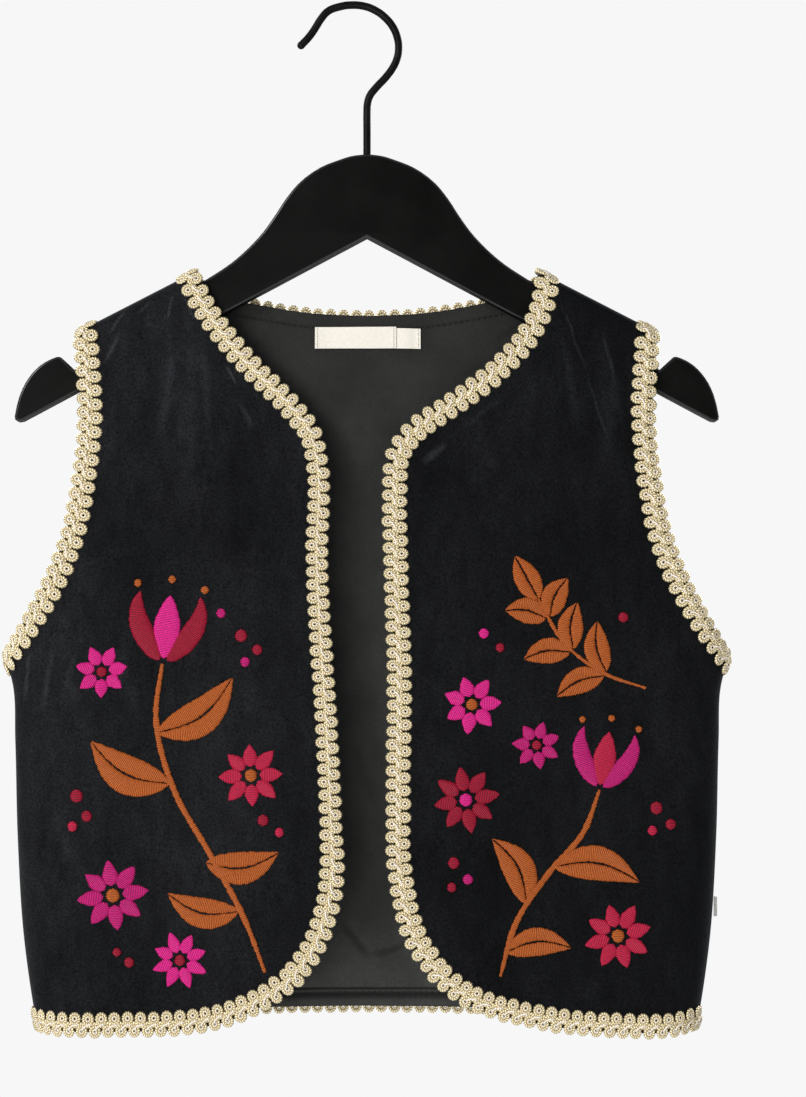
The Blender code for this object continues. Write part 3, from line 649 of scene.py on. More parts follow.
# Back lining. Dark grey cotton jersey, cut like the back and turned in round its edge. A twin
# needle holds it along a band under the neck and along the hem.
LINING = 1.0
LINING_GAP = 0.6
LINING_NECK_DROP = 0.4
LINING_SHOULDER_DROP = 8.0
LINING_HEM_LIFT = 0.5
LINING_SIDE = 0.96
LINING_ROWS = 130
LINING_EDGE = 14.0
LINING_EDGE_ROWS = 22
NECK_STITCHES = 6.8
HEM_BAND = 8.2
HEM_BAND_EDGE = HEM_BAND + 0.5
HEM_STITCHES = 6.7
NECK_STITCH_END = 84.0
HEM_STITCH_END = 150.0
HEM_SHADE = (3.6, 6.9)
BAND_STEP = 0.4
WAVE_REACH = 120.0

# Grooves along the neck's stitches, the hem's stitches and the hem band's edge: depth, half width.
NECK_GROOVE, HEM_GROOVE, EDGE_GROOVE = (0.4, 0.8), (0.35, 0.7), (0.5, 0.6)
# Thin creases in the lining, painted as shade and pressed in as bump: x, z of both ends, half width,
# strength.
LINING_CREASES = (
    (-16.0, -454.0, 4.5, -480.0, 3.6, 1.0), (-2.0, -475.5, 24.0, -468.0, 3.2, 0.9),
    (60.0, -168.0, 84.0, -152.0, 2.6, 0.6), (40.0, -186.0, 66.0, -172.0, 2.6, 0.35),
    (-10.0, -360.0, 6.0, -402.0, 4.0, 0.3),
)
STITCH_LENGTH = 1.9
STITCH_PITCH = 2.9
STITCH_RADIUS = 0.32


def lining_top(x):
    """Height of the lining's upper edge, a little under the neck and the shoulder seams."""
    return np.minimum(back_top(x) - LINING_NECK_DROP, shoulder_line(x) - LINING_SHOULDER_DROP)


def crossed_bands(tree, place, operation, *bands):
    """Yarns along X and Z joined by a Math node; each band is its scale and how uneven it is."""
    waves = [
        put(tree, "ShaderNodeTexWave", {"bands_direction": way}, Vector=place, Scale=scale, Distortion=uneven)
        for way, (scale, uneven) in zip("XZ", bands)
    ]
    return calc(tree, operation, *[wave.outputs["Fac"] for wave in waves])


def jersey():
    """Fine cotton jersey: narrow wales down the cloth, with painted shade darker towards the top, in its
    creases and along the hem's grooves and fold.
    """
    made, tree, shader = new_material(
        "dark grey jersey", Roughness=0.92, Specular_IOR_Level=0.15, Sheen_Weight=0.2, Sheen_Roughness=0.5)
    place = object_place(tree)
    colour = tone(tree, place, (0.021, 0.021, 0.020), (0.031, 0.031, 0.0295), 38.0)["Colour"]
    heather = tone(tree, place, (0.72, 0.72, 0.72), (1.3, 1.3, 1.28), 1300.0, 0.3, 0.7)["Colour"]
    height = put(tree, "ShaderNodeSeparateXYZ", Vector=place).outputs["Z"]
    # Painted shade: darker towards the top, as shade under the bar and the fronts, and lighter towards the
    # hem.
    painted_top_shade = put(tree, "ShaderNodeMapRange", Value=height, From_Min=-0.36, From_Max=-0.16, To_Min=1.42,
                 To_Max=0.64).outputs["Result"]
    for shade, share in ((heather, 0.7), (painted_top_shade, 1.0)):
        colour = blend(tree, share, colour, shade, "MULTIPLY")
    # Painted shade: creases, stitched grooves and the band under the hem's fold darken the jersey towards
    # near black.
    creases = fine_creases(tree, place, LINING_CREASES)
    painted_groove_shade = put(tree, "ShaderNodeAttribute", {"attribute_name": "painted_groove_shade"}).outputs["Fac"]
    shaded = calc(tree, "MULTIPLY_ADD", creases, 0.5, painted_groove_shade)
    plug(tree, shader, "Base Color", blend(tree, shaded, colour, (0.004, 0.004, 0.004, 1)))
    knit = crossed_bands(tree, place, "MULTIPLY", (330.0, 0.6), (380.0, 0.8))
    relief(tree, shader, calc(tree, "MULTIPLY_ADD", creases, -6.0, knit), 0.45, 0.0003)
    return made


def near(distance, place, width):
    """A soft bump of height 1 where the distance passes a place."""
    return np.exp(-(((distance - place) / width) ** 2))


outer_length = lengths(outer_edge)[-1] - LINING_HEM_LIFT
edge_rows = np.linspace(0, LINING_EDGE, LINING_EDGE_ROWS)
middle_rows = np.linspace(
    LINING_SHOULDER_DROP + LINING_EDGE, outer_length - LINING_EDGE, LINING_ROWS - 2 * LINING_EDGE_ROWS + 2)
lining_places = np.concatenate(
    [LINING_SHOULDER_DROP + edge_rows, middle_rows[1:-1], outer_length - edge_rows[::-1]])
lining_columns = half_columns[half_columns <= LINING_SIDE]
grid = back_grid(lining_columns, lining_places, lining_top, LINING_HEM_LIFT)
lining_outside, lining_normal = skin(grid[..., 0], grid[..., 1], 1)
from_top = grid[:1, :, 1] - grid[..., 1]
from_hem = grid[..., 1] - grid[-1:, :, 1]
relief_in = BAND_STEP / (1 + np.exp((from_hem - HEM_BAND) * 4))
for distance, place, (depth, half_width) in (
    (from_top, NECK_STITCHES, NECK_GROOVE), (from_hem, HEM_STITCHES, HEM_GROOVE),
    (from_hem, HEM_BAND_EDGE, EDGE_GROOVE),
):
    relief_in -= depth * near(distance, place, half_width)
relief_in += 0.35 * np.sin(grid[..., 0] / 29.0 + grid[..., 1] / 53.0) * near(from_hem, 0, WAVE_REACH)
far_side = WALL + LINING_GAP
lining_face = lining_outside - (far_side + LINING + np.clip(relief_in, -0.6, 0.8))[..., None] * lining_normal
lining = cloth_wall("jersey_lining", lining_outside - far_side * lining_normal, lining_face, jersey())
# Painted shade along the stitched grooves and in a band under the hem's fold.
painted_groove_shade = 0.25 * near(from_top, NECK_STITCHES, 0.9) + 0.95 * near(from_hem, HEM_BAND_EDGE, 0.6)
shaded_band = 1 / (1 + np.exp((HEM_SHADE[0] - from_hem) * 2.0))
shaded_band /= 1 + np.exp((from_hem - HEM_SHADE[1]) * 6.0)
painted_groove_shade = np.clip(painted_groove_shade + 0.85 * shaded_band, 0, 1).ravel()
lining.data.attributes.new("painted_groove_shade", "FLOAT", "POINT").data.foreach_set("value", np.tile(painted_groove_shade, 2))
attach(lining, "root")
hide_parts("back_lining")


def stamp(name, template, faces, template_uv, frames, finish):
    """Many copies of one small shape in one mesh. A frame is its origin and its three axes."""
    template = np.asarray(template, float)
    origins = np.array([f[0] for f in frames])
    axes = np.array([f[1] for f in frames])
    points = origins[:, None] + np.einsum("nk,fkd->fnd", template, axes)
    count = len(template)
    all_faces = [tuple(i + f * count for i in face) for f in range(len(frames)) for face in faces]
    return mesh_piece(name, points.reshape(-1, 3), all_faces, finish, list(template_uv) * len(frames))


def tube_template(line, radii, sides, flatten=1.0):
    """A closed tube along a line in its own s, t, h axes, with its faces and corner UVs."""
    line = np.asarray(line, float)
    run = np.gradient(line, axis=0)
    run /= np.linalg.norm(run, axis=1)[:, None]
    up = np.array((0.0, 0.0, 1.0))
    points, uv_at = [], []
    for i, (p, d, radius) in enumerate(zip(line, run, radii)):
        across = np.cross(up, d)
        across /= np.linalg.norm(across)
        lift = np.cross(d, across)
        for k in range(sides):
            angle = 2 * math.pi * k / sides
            points.append(p + radius * (math.cos(angle) * across + flatten * math.sin(angle) * lift))
            uv_at.append((i / (len(line) - 1), k / sides))
    faces, uv = [], []
    for i in range(len(line) - 1):
        for k in range(sides):
            m = (k + 1) % sides
            faces.append((i * sides + k, i * sides + m, (i + 1) * sides + m, (i + 1) * sides + k))
            wrap = 1.0 if m == 0 else uv_at[m][1]
            u0, u1, v0 = uv_at[i * sides][0], uv_at[(i + 1) * sides][0], uv_at[k][1]
            uv += [(u0, v0), (u0, wrap), (u1, wrap), (u1, v0)]
    for ring, order in ((0, -1), (len(line) - 1, 1)):
        cap = tuple(ring * sides + k for k in range(sides))[::order]
        faces.append(cap)
        uv += [(uv_at[i][0], uv_at[i][1]) for i in cap]
    return points, faces, uv


def sewing_thread(name, colour):
    """Matt spun sewing thread."""
    return toned_material(name, tuple(0.6 * c for c in colour), colour, 2200.0, 0.3, 0.0002, Roughness=0.8)


def lining_point(x, z, lift):
    """A point on the lining's inner face at x, z, with its axes: along x, up the cloth, outwards."""
    point, normal = skin(np.array([x]), np.array([z]), 1)
    away = -normal[0]
    right = np.cross(away, (0, 0, 1.0))
    right /= np.linalg.norm(right)
    return point[0] + away * (far_side + LINING + lift), (right, np.cross(away, right), away)


def stitch_row(curve, lift):
    """Frames for stitches along a curve in x, z on the lining."""
    frames = []
    places = np.arange(0, lengths(curve)[-1], STITCH_PITCH)
    points = along(curve, places)
    runs = along(curve, places + 0.5) - points
    for (x, z), run in zip(points, runs):
        origin, (right, _, away) = lining_point(x, z, lift)
        d = right * run[0] * np.sign(right[0]) + np.array((0, 0, run[1]))
        d /= np.linalg.norm(d)
        frames.append((origin, (d, np.cross(away, d), away)))
    return frames


neck_x = np.linspace(-NECK_STITCH_END, NECK_STITCH_END, 90)
neck_stitches = np.stack([neck_x, lining_top(neck_x) - NECK_STITCHES], axis=1)
hem_x = np.linspace(-HEM_STITCH_END, HEM_STITCH_END, 120)
hem_z = np.interp(np.abs(hem_x), *curve_through(BACK_HEM)[::-1].T) + LINING_HEM_LIFT + HEM_STITCHES
hem_stitches = np.stack([hem_x, hem_z], axis=1)
stitch_line = [(t * STITCH_LENGTH / 2, 0, 0.12 - 0.3 * t * t) for t in (-1, -0.6, 0, 0.6, 1)]
stitch_shape = tube_template(stitch_line, [STITCH_RADIUS * r for r in (0.4, 0.9, 1, 0.9, 0.4)], 5)
stitches = stamp(
    "lining_stitches", *stitch_shape, stitch_row(neck_stitches, 0.15) + stitch_row(hem_stitches, 0.2),
    sewing_thread("dark sewing thread", (0.004, 0.004, 0.004)),
)
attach(stitches, "root")


# Labels. Two woven cotton tapes with folded ends, sewn flat on the lining under the neck
# band, the short one tucked under the long one's end. Both are plain.
NECK_LABEL = {"name": "neck_tape", "node": "neck_label", "left": -26.2, "right": 14.4, "top": -157.9,
              "bottom": -168.5, "tilt": 0.004, "lift": 0.75}
SIZE_LABEL = {"name": "size_tape", "node": "size_label", "left": 12.6, "right": 26.8, "top": -158.6,
              "bottom": -168.6, "tilt": -0.02, "lift": 0.35}
LABEL_THICKNESS = 0.35
END_STITCHES = 8
END_STITCH_INSET = 0.9


def woven_tape():
    """Cream cotton tape in a fine plain weave."""
    made, tree, shader = new_material("cream woven tape", Roughness=0.88, Sheen_Weight=0.15)
    place = object_place(tree)
    colour = tone(tree, place, (0.72, 0.675, 0.59), (0.79, 0.75, 0.67), 1500.0)
    plug(tree, shader, "Base Color", colour["Colour"])
    relief(tree, shader, crossed_bands(tree, place, "ADD", (620.0, 0.4), (620.0, 0.4)), 0.35, 0.0002)
    return made


def label_lift(label, x):
    """How far a label stands off the lining: folded ends are thicker, and its middle bellies out."""
    share = (x - label["left"]) / (label["right"] - label["left"])
    ends = 0.45 * (math.exp(-((share * 9) ** 2)) + math.exp(-(((1 - share) * 9) ** 2)))
    return label["lift"] + ends + 0.5 * math.sin(math.pi * share) ** 2


def make_label(label, finish):
    """A folded tape laid along the lining."""
    deselect()
    bpy.ops.mesh.primitive_grid_add(x_subdivisions=44, y_subdivisions=14, size=2.0)
    tape = bpy.context.object
    tape.name = tape.data.name = label["name"]
    middle_x = (label["left"] + label["right"]) / 2
    for vert in tape.data.vertices:
        x = middle_x + vert.co.x * (label["right"] - label["left"]) / 2
        z = (label["top"] + label["bottom"]) / 2 + vert.co.y * (label["top"] - label["bottom"]) / 2
        z += label["tilt"] * (x - middle_x)
        place = lining_point(x, z, label_lift(label, x))[0]
        vert.co = place * MM
    thick = tape.modifiers.new("thickness", "SOLIDIFY")
    thick.thickness = LABEL_THICKNESS * MM
    thick.offset = 0
    bpy.ops.object.modifier_apply(modifier=thick.name)
    face_outwards(tape)
    bpy.ops.object.shade_smooth_by_angle(angle=math.radians(40))
    tape.data.materials.append(finish)
    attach(tape, "root")
    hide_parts(label["node"])
    return tape


def label_frames(label, x):
    """Stitches down a label's end at x."""
    frames = []
    reach = label["top"] - label["bottom"] - 2 * END_STITCH_INSET
    for k in range(END_STITCHES):
        z = label["top"] - END_STITCH_INSET - k * reach / (END_STITCHES - 1)
        origin, (right, up_cloth, away) = lining_point(x, z, label_lift(label, x) + 0.2)
        frames.append((origin, (up_cloth * 0.55, right * 0.7, away)))
    return frames


cream_tape = woven_tape()
neck_tape = make_label(NECK_LABEL, cream_tape)
size_tape = make_label(SIZE_LABEL, cream_tape)
label_stitches = stamp(
    "label_stitches", *stitch_shape,
    label_frames(NECK_LABEL, NECK_LABEL["left"] + 1.2) + label_frames(NECK_LABEL, NECK_LABEL["right"] - 1.2)
    + label_frames(SIZE_LABEL, SIZE_LABEL["right"] - 1.1),
    sewing_thread("cream sewing thread", (0.7, 0.66, 0.56)),
)
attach(label_stitches, "root")


# Fronts. Two velvet pieces with a curved neck and a round lower corner. They hang open, with
# soft creases that fan down from the neck point and drag from the underarm.
RIGHT_EDGE = (
    (NECK_POINT_X, NECK_POINT_Z), (78.0, -146.9), (68.8, -160.4), (57.1, -174.1), (32.3, -199.9),
    (24.9, -210.1), (21.6, -223.0), (21.1, -275.0), (19.1, -314.3), (16.4, -354.0), (14.0, -406.0),
    (13.4, -430.0), (17.2, -451.6), (24.0, -468.5), (34.5, -483.3),
)
RIGHT_HEM = (
    (165.0, -507.0), (151.0, -507.4), (122.0, -507.3), (97.0, -506.7), (79.2, -504.8), (64.0, -500.5),
    (49.0, -493.3), (34.5, -483.3),
)
LEFT_EDGE = (
    (NECK_POINT_X, NECK_POINT_Z), (84.4, -146.0), (79.6, -157.6), (62.2, -178.3), (37.3, -196.8),
    (25.2, -204.9), (16.7, -213.5), (11.7, -223.5), (10.6, -238.0), (11.0, -275.0), (12.7, -330.0),
    (12.3, -394.0), (13.0, -428.8), (15.6, -444.0), (19.6, -459.2), (33.5, -481.2),
)
LEFT_HEM = (
    (165.0, -506.0), (149.0, -508.0), (124.0, -507.4), (99.0, -505.7), (74.0, -501.2), (61.2, -497.9),
    (49.0, -492.8), (33.5, -481.2),
)
FRONT_COLUMNS = 120


def front_grid(edge, hem):
    """x and z of a front's grid, with x positive on its own side."""
    inner = curve_through(edge)
    level = np.interp(-UNDERARM[1], -inner[:, 1], lengths(inner))
    places = row_places(armhole_length, lengths(outer_edge)[-1])
    a = along(outer_edge, places)
    b = along(inner, row_places(level, lengths(inner)[-1]))
    share = 1 - np.cos(np.linspace(0, math.pi / 2, FRONT_COLUMNS))
    u = share[None, :, None]
    cloth = (1 - u) * a[:, None] + u * b[:, None]
    hem_line = curve_through(hem)
    bottom = along(hem_line, share * lengths(hem_line)[-1])
    rows = np.arange(len(a))
    weight = np.clip((rows - (len(a) - 1 - SIDE_ROWS)) / SIDE_ROWS, 0, 1) ** 2
    return cloth + weight[:, None, None] * (bottom - cloth[-1])[None]


def make_front(name, side, edge, hem, node):
    """One front, cut by its edge and hem, with its crushed pile and painted sheen on its creases."""
    cloth = front_grid(edge, hem)
    outside, normal = skin(side * cloth[..., 0], cloth[..., 1], -1)
    front = cloth_wall(name, outside, outside - WALL * normal, velvet_cloth)
    mark_crush_and_sheen(front, side * cloth[..., 0], cloth[..., 1], -1)
    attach(front, "root")
    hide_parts(node)
    return front


front_right = make_front("velvet_front_right", -1, RIGHT_EDGE, RIGHT_HEM, "front_right")
front_left = make_front("velvet_front_left", 1, LEFT_EDGE, LEFT_HEM, "front_left")


# Gimp braid. Gold cord, wrapped in metallic thread, is coiled into two rows of small rings
# half a step apart, with a paler thread that winds from ring to ring. It is sewn on flat.
BRAID_INSET = 3.5
HEM_BRAID_DROP = 0.7
HEM_DROP_X, HEM_DROP_RUN = 160.0, 40.0
EDGE_PITCH, EDGE_LEAN, EDGE_FULLNESS = 6.5, 0.12, 1.0
ARMHOLE_PITCH, ARMHOLE_LEAN, ARMHOLE_FULLNESS = 6.8, 0.36, 1.06
INNER_LEAN = 0.10
ROW_OFFSET = 3.1
PRESSED_OFFSET = 2.45
PRESSED_TOP, PRESSED_BOTTOM, PRESSED_X = -205.0, -428.0, -45.0
RING_RADIUS = 2.24
CORD_RADIUS = 0.85
RING_SEGMENTS, RING_SIDES = 20, 4
RING_RIDGE = 0.07
RING_OVAL = 1.12
COIL_RADIUS = 1.0
COIL_CORD = 0.61
COIL_SEGMENTS = 12
COIL_LIFT = 0.15
THREAD_RADIUS = 0.5
RING_LIFT = 1.0
LINK_LINE = (
    (1.6, 2.9, 1.1), (1.35, 2.1, 1.85), (0.7, 1.1, 1.95), (-0.4, 0.35, 1.75), (-1.6, -0.1, 1.7),
    (-2.8, -0.25, 1.6), (-3.8, 0.2, 0.9),
)
BRIDGE_LINE = ((-3.6, -0.5), (-1.7, 0.95), (0.0, 0.0), (1.7, -0.95), (3.6, 0.5))
BRIDGE_RADIUS = 0.82
BRIDGE_LIFT = 0.7
RAY_REACH = 10.0


def wrapped_thread_group():
    """Fine turns of thread wrapped across a cord, counted along the piece's own UV; the colour is painted
    darker in the hollows between turns as shade, with random variation.
    """
    tree, given, leave = group_tree(
        "wrapped thread",
        (("Turns", "Float"), ("Slant", "Float"), ("Dark", "Color"), ("Light", "Color")),
        (("Colour", "Color"), ("Height", "Float")),
    )
    uv = put(tree, "ShaderNodeUVMap", {"uv_map": "UVMap"}).outputs["UV"]
    parts = put(tree, "ShaderNodeSeparateXYZ", Vector=uv).outputs
    turns = calc(tree, "MULTIPLY", parts["X"], given["Turns"])
    slanted = calc(tree, "MULTIPLY_ADD", parts["Y"], given["Slant"], turns)
    wave = calc(tree, "SINE", calc(tree, "MULTIPLY", slanted, 2 * math.pi))
    height = put(tree, "ShaderNodeMapRange", Value=wave, From_Min=-1.0).outputs["Result"]
    noise = put(tree, "ShaderNodeTexNoise", Vector=object_place(tree), Scale=1400.0, Detail=3.0)
    share = calc(tree, "ADD", height, calc(tree, "SUBTRACT", noise.outputs["Fac"], 0.5))
    plug(tree, leave, "Colour", blend(tree, share, given["Dark"], given["Light"]))
    plug(tree, leave, "Height", height)
    return tree


wrapped_thread = wrapped_thread_group()


def thread_material(name, dark, light, turns, slant, roughness, metallic, strength, gloss=0.5):
    """Thread or wrapped cord, with its turns as fine ridges in relief and in colour, painted darker between
    turns as shade.
    """
    made, tree, shader = new_material(name, Roughness=roughness, Metallic=metallic, Specular_IOR_Level=gloss)
    wraps = put(tree, "ShaderNodeGroup", {"node_tree": wrapped_thread}, Turns=turns, Slant=slant,
                Dark=(*dark, 1), Light=(*light, 1)).outputs
    plug(tree, shader, "Base Color", wraps["Colour"])
    relief(tree, shader, wraps["Height"], strength, 0.0003)
    return made


def ring_template(radius, cord, segments, ridge, lift):
    """A ring of wrapped cord in its own s, t, h axes; its outer edge is ridged by the wraps."""
    points, faces, uv = [], [], []
    sides = RING_SIDES
    for i in range(segments):
        a = 2 * math.pi * i / segments
        thick = cord * (1 + ridge * (-1) ** i)
        for k in range(sides):
            b = 2 * math.pi * k / sides
            out = radius + thick * math.cos(b)
            points.append((out * math.cos(a), out * math.sin(a), thick * math.sin(b) + lift))
    for i in range(segments):
        for k in range(sides):
            j, m = (i + 1) % segments, (k + 1) % sides
            faces.append((i * sides + k, j * sides + k, j * sides + m, i * sides + m))
            u0, u1, v0, v1 = (i + 0.5) / segments, (i + 1.5) / segments, k / sides, (k + 1) / sides
            uv += [(u0, v0), (u1, v0), (u1, v1), (u0, v1)]
    return points, faces, uv


def inset_line(curve, distance):
    """A curve moved to its right by a distance, in the x, z plane."""
    run = np.gradient(curve, axis=0)
    run /= np.linalg.norm(run, axis=1)[:, None]
    return curve + distance * np.stack([run[:, 1], -run[:, 0]], axis=1)


def fine(curve):
    """A curve with a sample every quarter of a millimetre."""
    return along(curve, np.arange(0, lengths(curve)[-1], 0.25))


def edge_route(side, edge, hem):
    """The braid's middle line on one front, from the shoulder seam to the side seam: x, z."""
    full = np.vstack([curve_through(edge), curve_through(hem)[::-1][1:]])
    return inset_line(fine(full), -BRAID_INSET) * (side, 1)


def armhole_route(side):
    """The braid's middle line round an armhole, run out to the side seam: x, z."""
    line = inset_line(fine(curve_through(ARMHOLE)), BRAID_INSET)
    run = (line[-1] - line[-5]) / np.linalg.norm(line[-1] - line[-5])
    more = line[-1] + run * np.arange(0.25, 12, 0.25)[:, None]
    return np.vstack([line, more[more[:, 0] < side_line(more[:, 1])]]) * (side, 1)


def cloth_search(objects):
    """The velvet walls as one surface that a ray can find."""
    verts, faces = [], []
    for obj in objects:
        first = len(verts)
        verts += [v.co.copy() for v in obj.data.vertices]
        faces += [[first + i for i in p.vertices] for p in obj.data.polygons]
    return BVHTree.FromPolygons(verts, faces)


velvet_surface = cloth_search([front_right, front_left, back])


def cloth_height(point, up):
    """How far the velvet lies above a point along up, or None beyond the cloth's edge."""
    start = Vector(point + RAY_REACH * up) * MM
    place = velvet_surface.ray_cast(start, Vector(-up), 2 * RAY_REACH * MM)[0]
    return None if place is None else RAY_REACH - (place - start).length / MM


def braid_stations(pieces, pitch):
    """Evenly spaced places on a closed route: point, run, across and up, four for each step."""
    points = np.vstack([p for p, n in pieces])
    normals = np.vstack([n for p, n in pieces])
    loop, turned = np.vstack([points, points[:1]]), np.vstack([normals, normals[:1]])
    s = lengths(loop)
    count = 4 * round(s[-1] / pitch)
    places = np.arange(count) * s[-1] / count
    at = along(loop, places)
    up = np.stack([np.interp(places, s, turned[:, k]) for k in range(3)], axis=1)
    up = (up + np.roll(up, 1, axis=0) + np.roll(up, -1, axis=0)) / 3
    up /= np.linalg.norm(up, axis=1)[:, None]
    run = np.roll(at, -1, axis=0) - np.roll(at, 1, axis=0)
    run -= (run * up).sum(axis=1)[:, None] * up
    run /= np.linalg.norm(run, axis=1)[:, None]
    return at, run, np.cross(up, run), up


def tilted(run, across, up, angle):
    """Axes turned about the run, so that one row of rings leans with the cloth's edge."""
    c, s = math.cos(angle), math.sin(angle)
    return run, c * across + s * up, c * up - s * across


def row_offset(place):
    """Half the distance between the rows; the right front's straight edge is pressed narrower."""
    x, y, z = place
    below = min(max((PRESSED_TOP - z) / 12.0, 0.0), 1.0)
    above = min(max((z - PRESSED_BOTTOM) / 25.0, 0.0), 1.0)
    pressed = below * above if y < 0 and PRESSED_X < x < 0 else 0.0
    return ROW_OFFSET + (PRESSED_OFFSET - ROW_OFFSET) * pressed


def make_braid(name, node, pieces, pitch, outer_side, outer_lean, fullness, finishes):
    """Rings, coils, bridges and thread along a closed route; outer_side is the cut edge's side."""
    luck = random.Random(name)
    at, run, across, up = braid_stations(pieces, pitch)
    rings, links = [], []
    for i in range(0, len(at), 4):
        for row, j in ((-1, i), (1, i + 2)):
            lean = outer_lean if row == outer_side else INNER_LEAN
            offset = row_offset(at[j])
            origin = at[j] + row * offset * across[j]
            height = cloth_height(origin, up[j])
            if height is None:
                height = cloth_height(at[j], up[j]) or 0.0
            axes = tilted(run[j], across[j], up[j], -row * lean)
            turn = luck.uniform(0, 2 * math.pi)
            c, s = math.cos(turn), math.sin(turn)
            along_run = luck.uniform(0.96, 1.02) * fullness * axes[0]
            along_width = luck.uniform(0.97, 1.03) * fullness * RING_OVAL * axes[1]
            spun = (c * along_run + s * along_width, c * along_width - s * along_run, axes[2])
            wander = luck.uniform(-0.15, 0.15) * run[j] + luck.uniform(-0.15, 0.15) * across[j]
            rise = height + RING_LIFT - offset * math.sin(lean) * 0.5
            rings.append((origin + wander + rise * up[j], spun))
        middle = (i + 1) % len(at)
        height = cloth_height(at[middle], up[middle]) or 0.0
        narrow = row_offset(at[middle]) / ROW_OFFSET
        turn = luck.uniform(-0.08, 0.08)
        axes = (run[middle] + turn * across[middle], narrow * across[middle] - turn * run[middle], up[middle])
        links.append((at[middle] + height * up[middle], axes))
    ring = ring_template(RING_RADIUS, CORD_RADIUS, RING_SEGMENTS, RING_RIDGE, 0.0)
    coil = ring_template(COIL_RADIUS, COIL_CORD, COIL_SEGMENTS, 0.0, COIL_LIFT)
    radii = [THREAD_RADIUS / 2] + [THREAD_RADIUS] * (len(LINK_LINE) - 2) + [THREAD_RADIUS / 2]
    link = tube_template(LINK_LINE, radii, 5, 0.8)
    line = [(s, t, BRIDGE_LIFT) for s, t in curve_through(BRIDGE_LINE, 2)]
    points, faces, uv = tube_template(line, [BRIDGE_RADIUS] * len(line), 6, 0.75)
    bridge = (points, faces, [(u / 2, v) for u, v in uv])
    gold, cream, silver = finishes
    for suffix, template, frames, finish in (
        ("_rings", ring, rings, gold), ("_bridges", bridge, links, gold), ("_coils", coil, rings, cream),
        ("_links", link, links, silver),
    ):
        piece = stamp(name + suffix, *template, frames, finish)
        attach(piece, "root")
        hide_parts(node)


gold_cord = thread_material(
    "gold wrapped cord", (0.44, 0.31, 0.11), (1.0, 0.92, 0.66), 13.0, 1.0, 0.33, 0.38, 0.9)
cream_cord = thread_material(
    "cream wrapped cord", (0.62, 0.49, 0.30), (1.0, 0.95, 0.80), 7.0, 1.0, 0.36, 0.30, 0.7)
silver_thread = thread_material(
    "pale silver thread", (0.70, 0.58, 0.46), (1.0, 0.97, 0.92), 9.0, 1.0, 0.28, 0.35, 0.5)
braid_threads = (gold_cord, cream_cord, silver_thread)
half_hem = inset_line(fine(curve_through(BACK_HEM)), BRAID_INSET)
half_hem[:, 1] -= HEM_BRAID_DROP * np.clip((HEM_DROP_X - half_hem[:, 0]) / HEM_DROP_RUN, 0, 1)
half_neck = inset_line(fine(curve_through(BACK_NECK)), -BRAID_INSET)
mirrored = np.array((-1, 1))
edge_pieces = [
    skin(*edge_route(-1, RIGHT_EDGE, RIGHT_HEM).T, -1),
    skin(*(half_hem * mirrored).T, 1),
    skin(*half_hem[::-1].T, 1),
    skin(*edge_route(1, LEFT_EDGE, LEFT_HEM)[::-1].T, -1),
    skin(*half_neck.T, 1),
    skin(*(half_neck * mirrored)[::-1].T, 1),
]
make_braid("gimp_edge", "braid_edge", edge_pieces, EDGE_PITCH, 1, EDGE_LEAN, EDGE_FULLNESS, braid_threads)
for name, node, side in (
    ("gimp_armhole_right", "braid_armhole_right", -1), ("gimp_armhole_left", "braid_armhole_left", 1),
):
    route = armhole_route(side)
    pieces = [skin(*route[::-1].T, -1), skin(*route.T, 1)]
    make_braid(name, node, pieces, ARMHOLE_PITCH, -side, ARMHOLE_LEAN, ARMHOLE_FULLNESS, braid_threads)


# Embroidery. Satin stitch in rayon thread on both fronts: tulips, daisies, berries and sprays
# of narrow leaves, a general folk design. Each shape is padded and stands a little proud.
SATIN_HEIGHT = 0.7
SATIN_STEP = 0.9
LEAST_STITCHES = 10
THREAD_WIDTH = 0.85
RUST, CRIMSON, MAGENTA, PINK, ROSE = range(5)
# Each thread's dark colour is painted shade between its stitches, and its light colour is the thread on the
# crest.
THREADS = (
    ("rust thread", (0.13, 0.028, 0.004), (0.52, 0.120, 0.020)),
    ("crimson thread", (0.07, 0.0015, 0.007), (0.40, 0.007, 0.034)),
    ("magenta thread", (0.13, 0.003, 0.040), (0.62, 0.012, 0.19)),
    ("pink thread", (0.22, 0.005, 0.075), (0.82, 0.020, 0.27)),
    ("rose thread", (0.13, 0.003, 0.014), (0.60, 0.016, 0.066)),
)


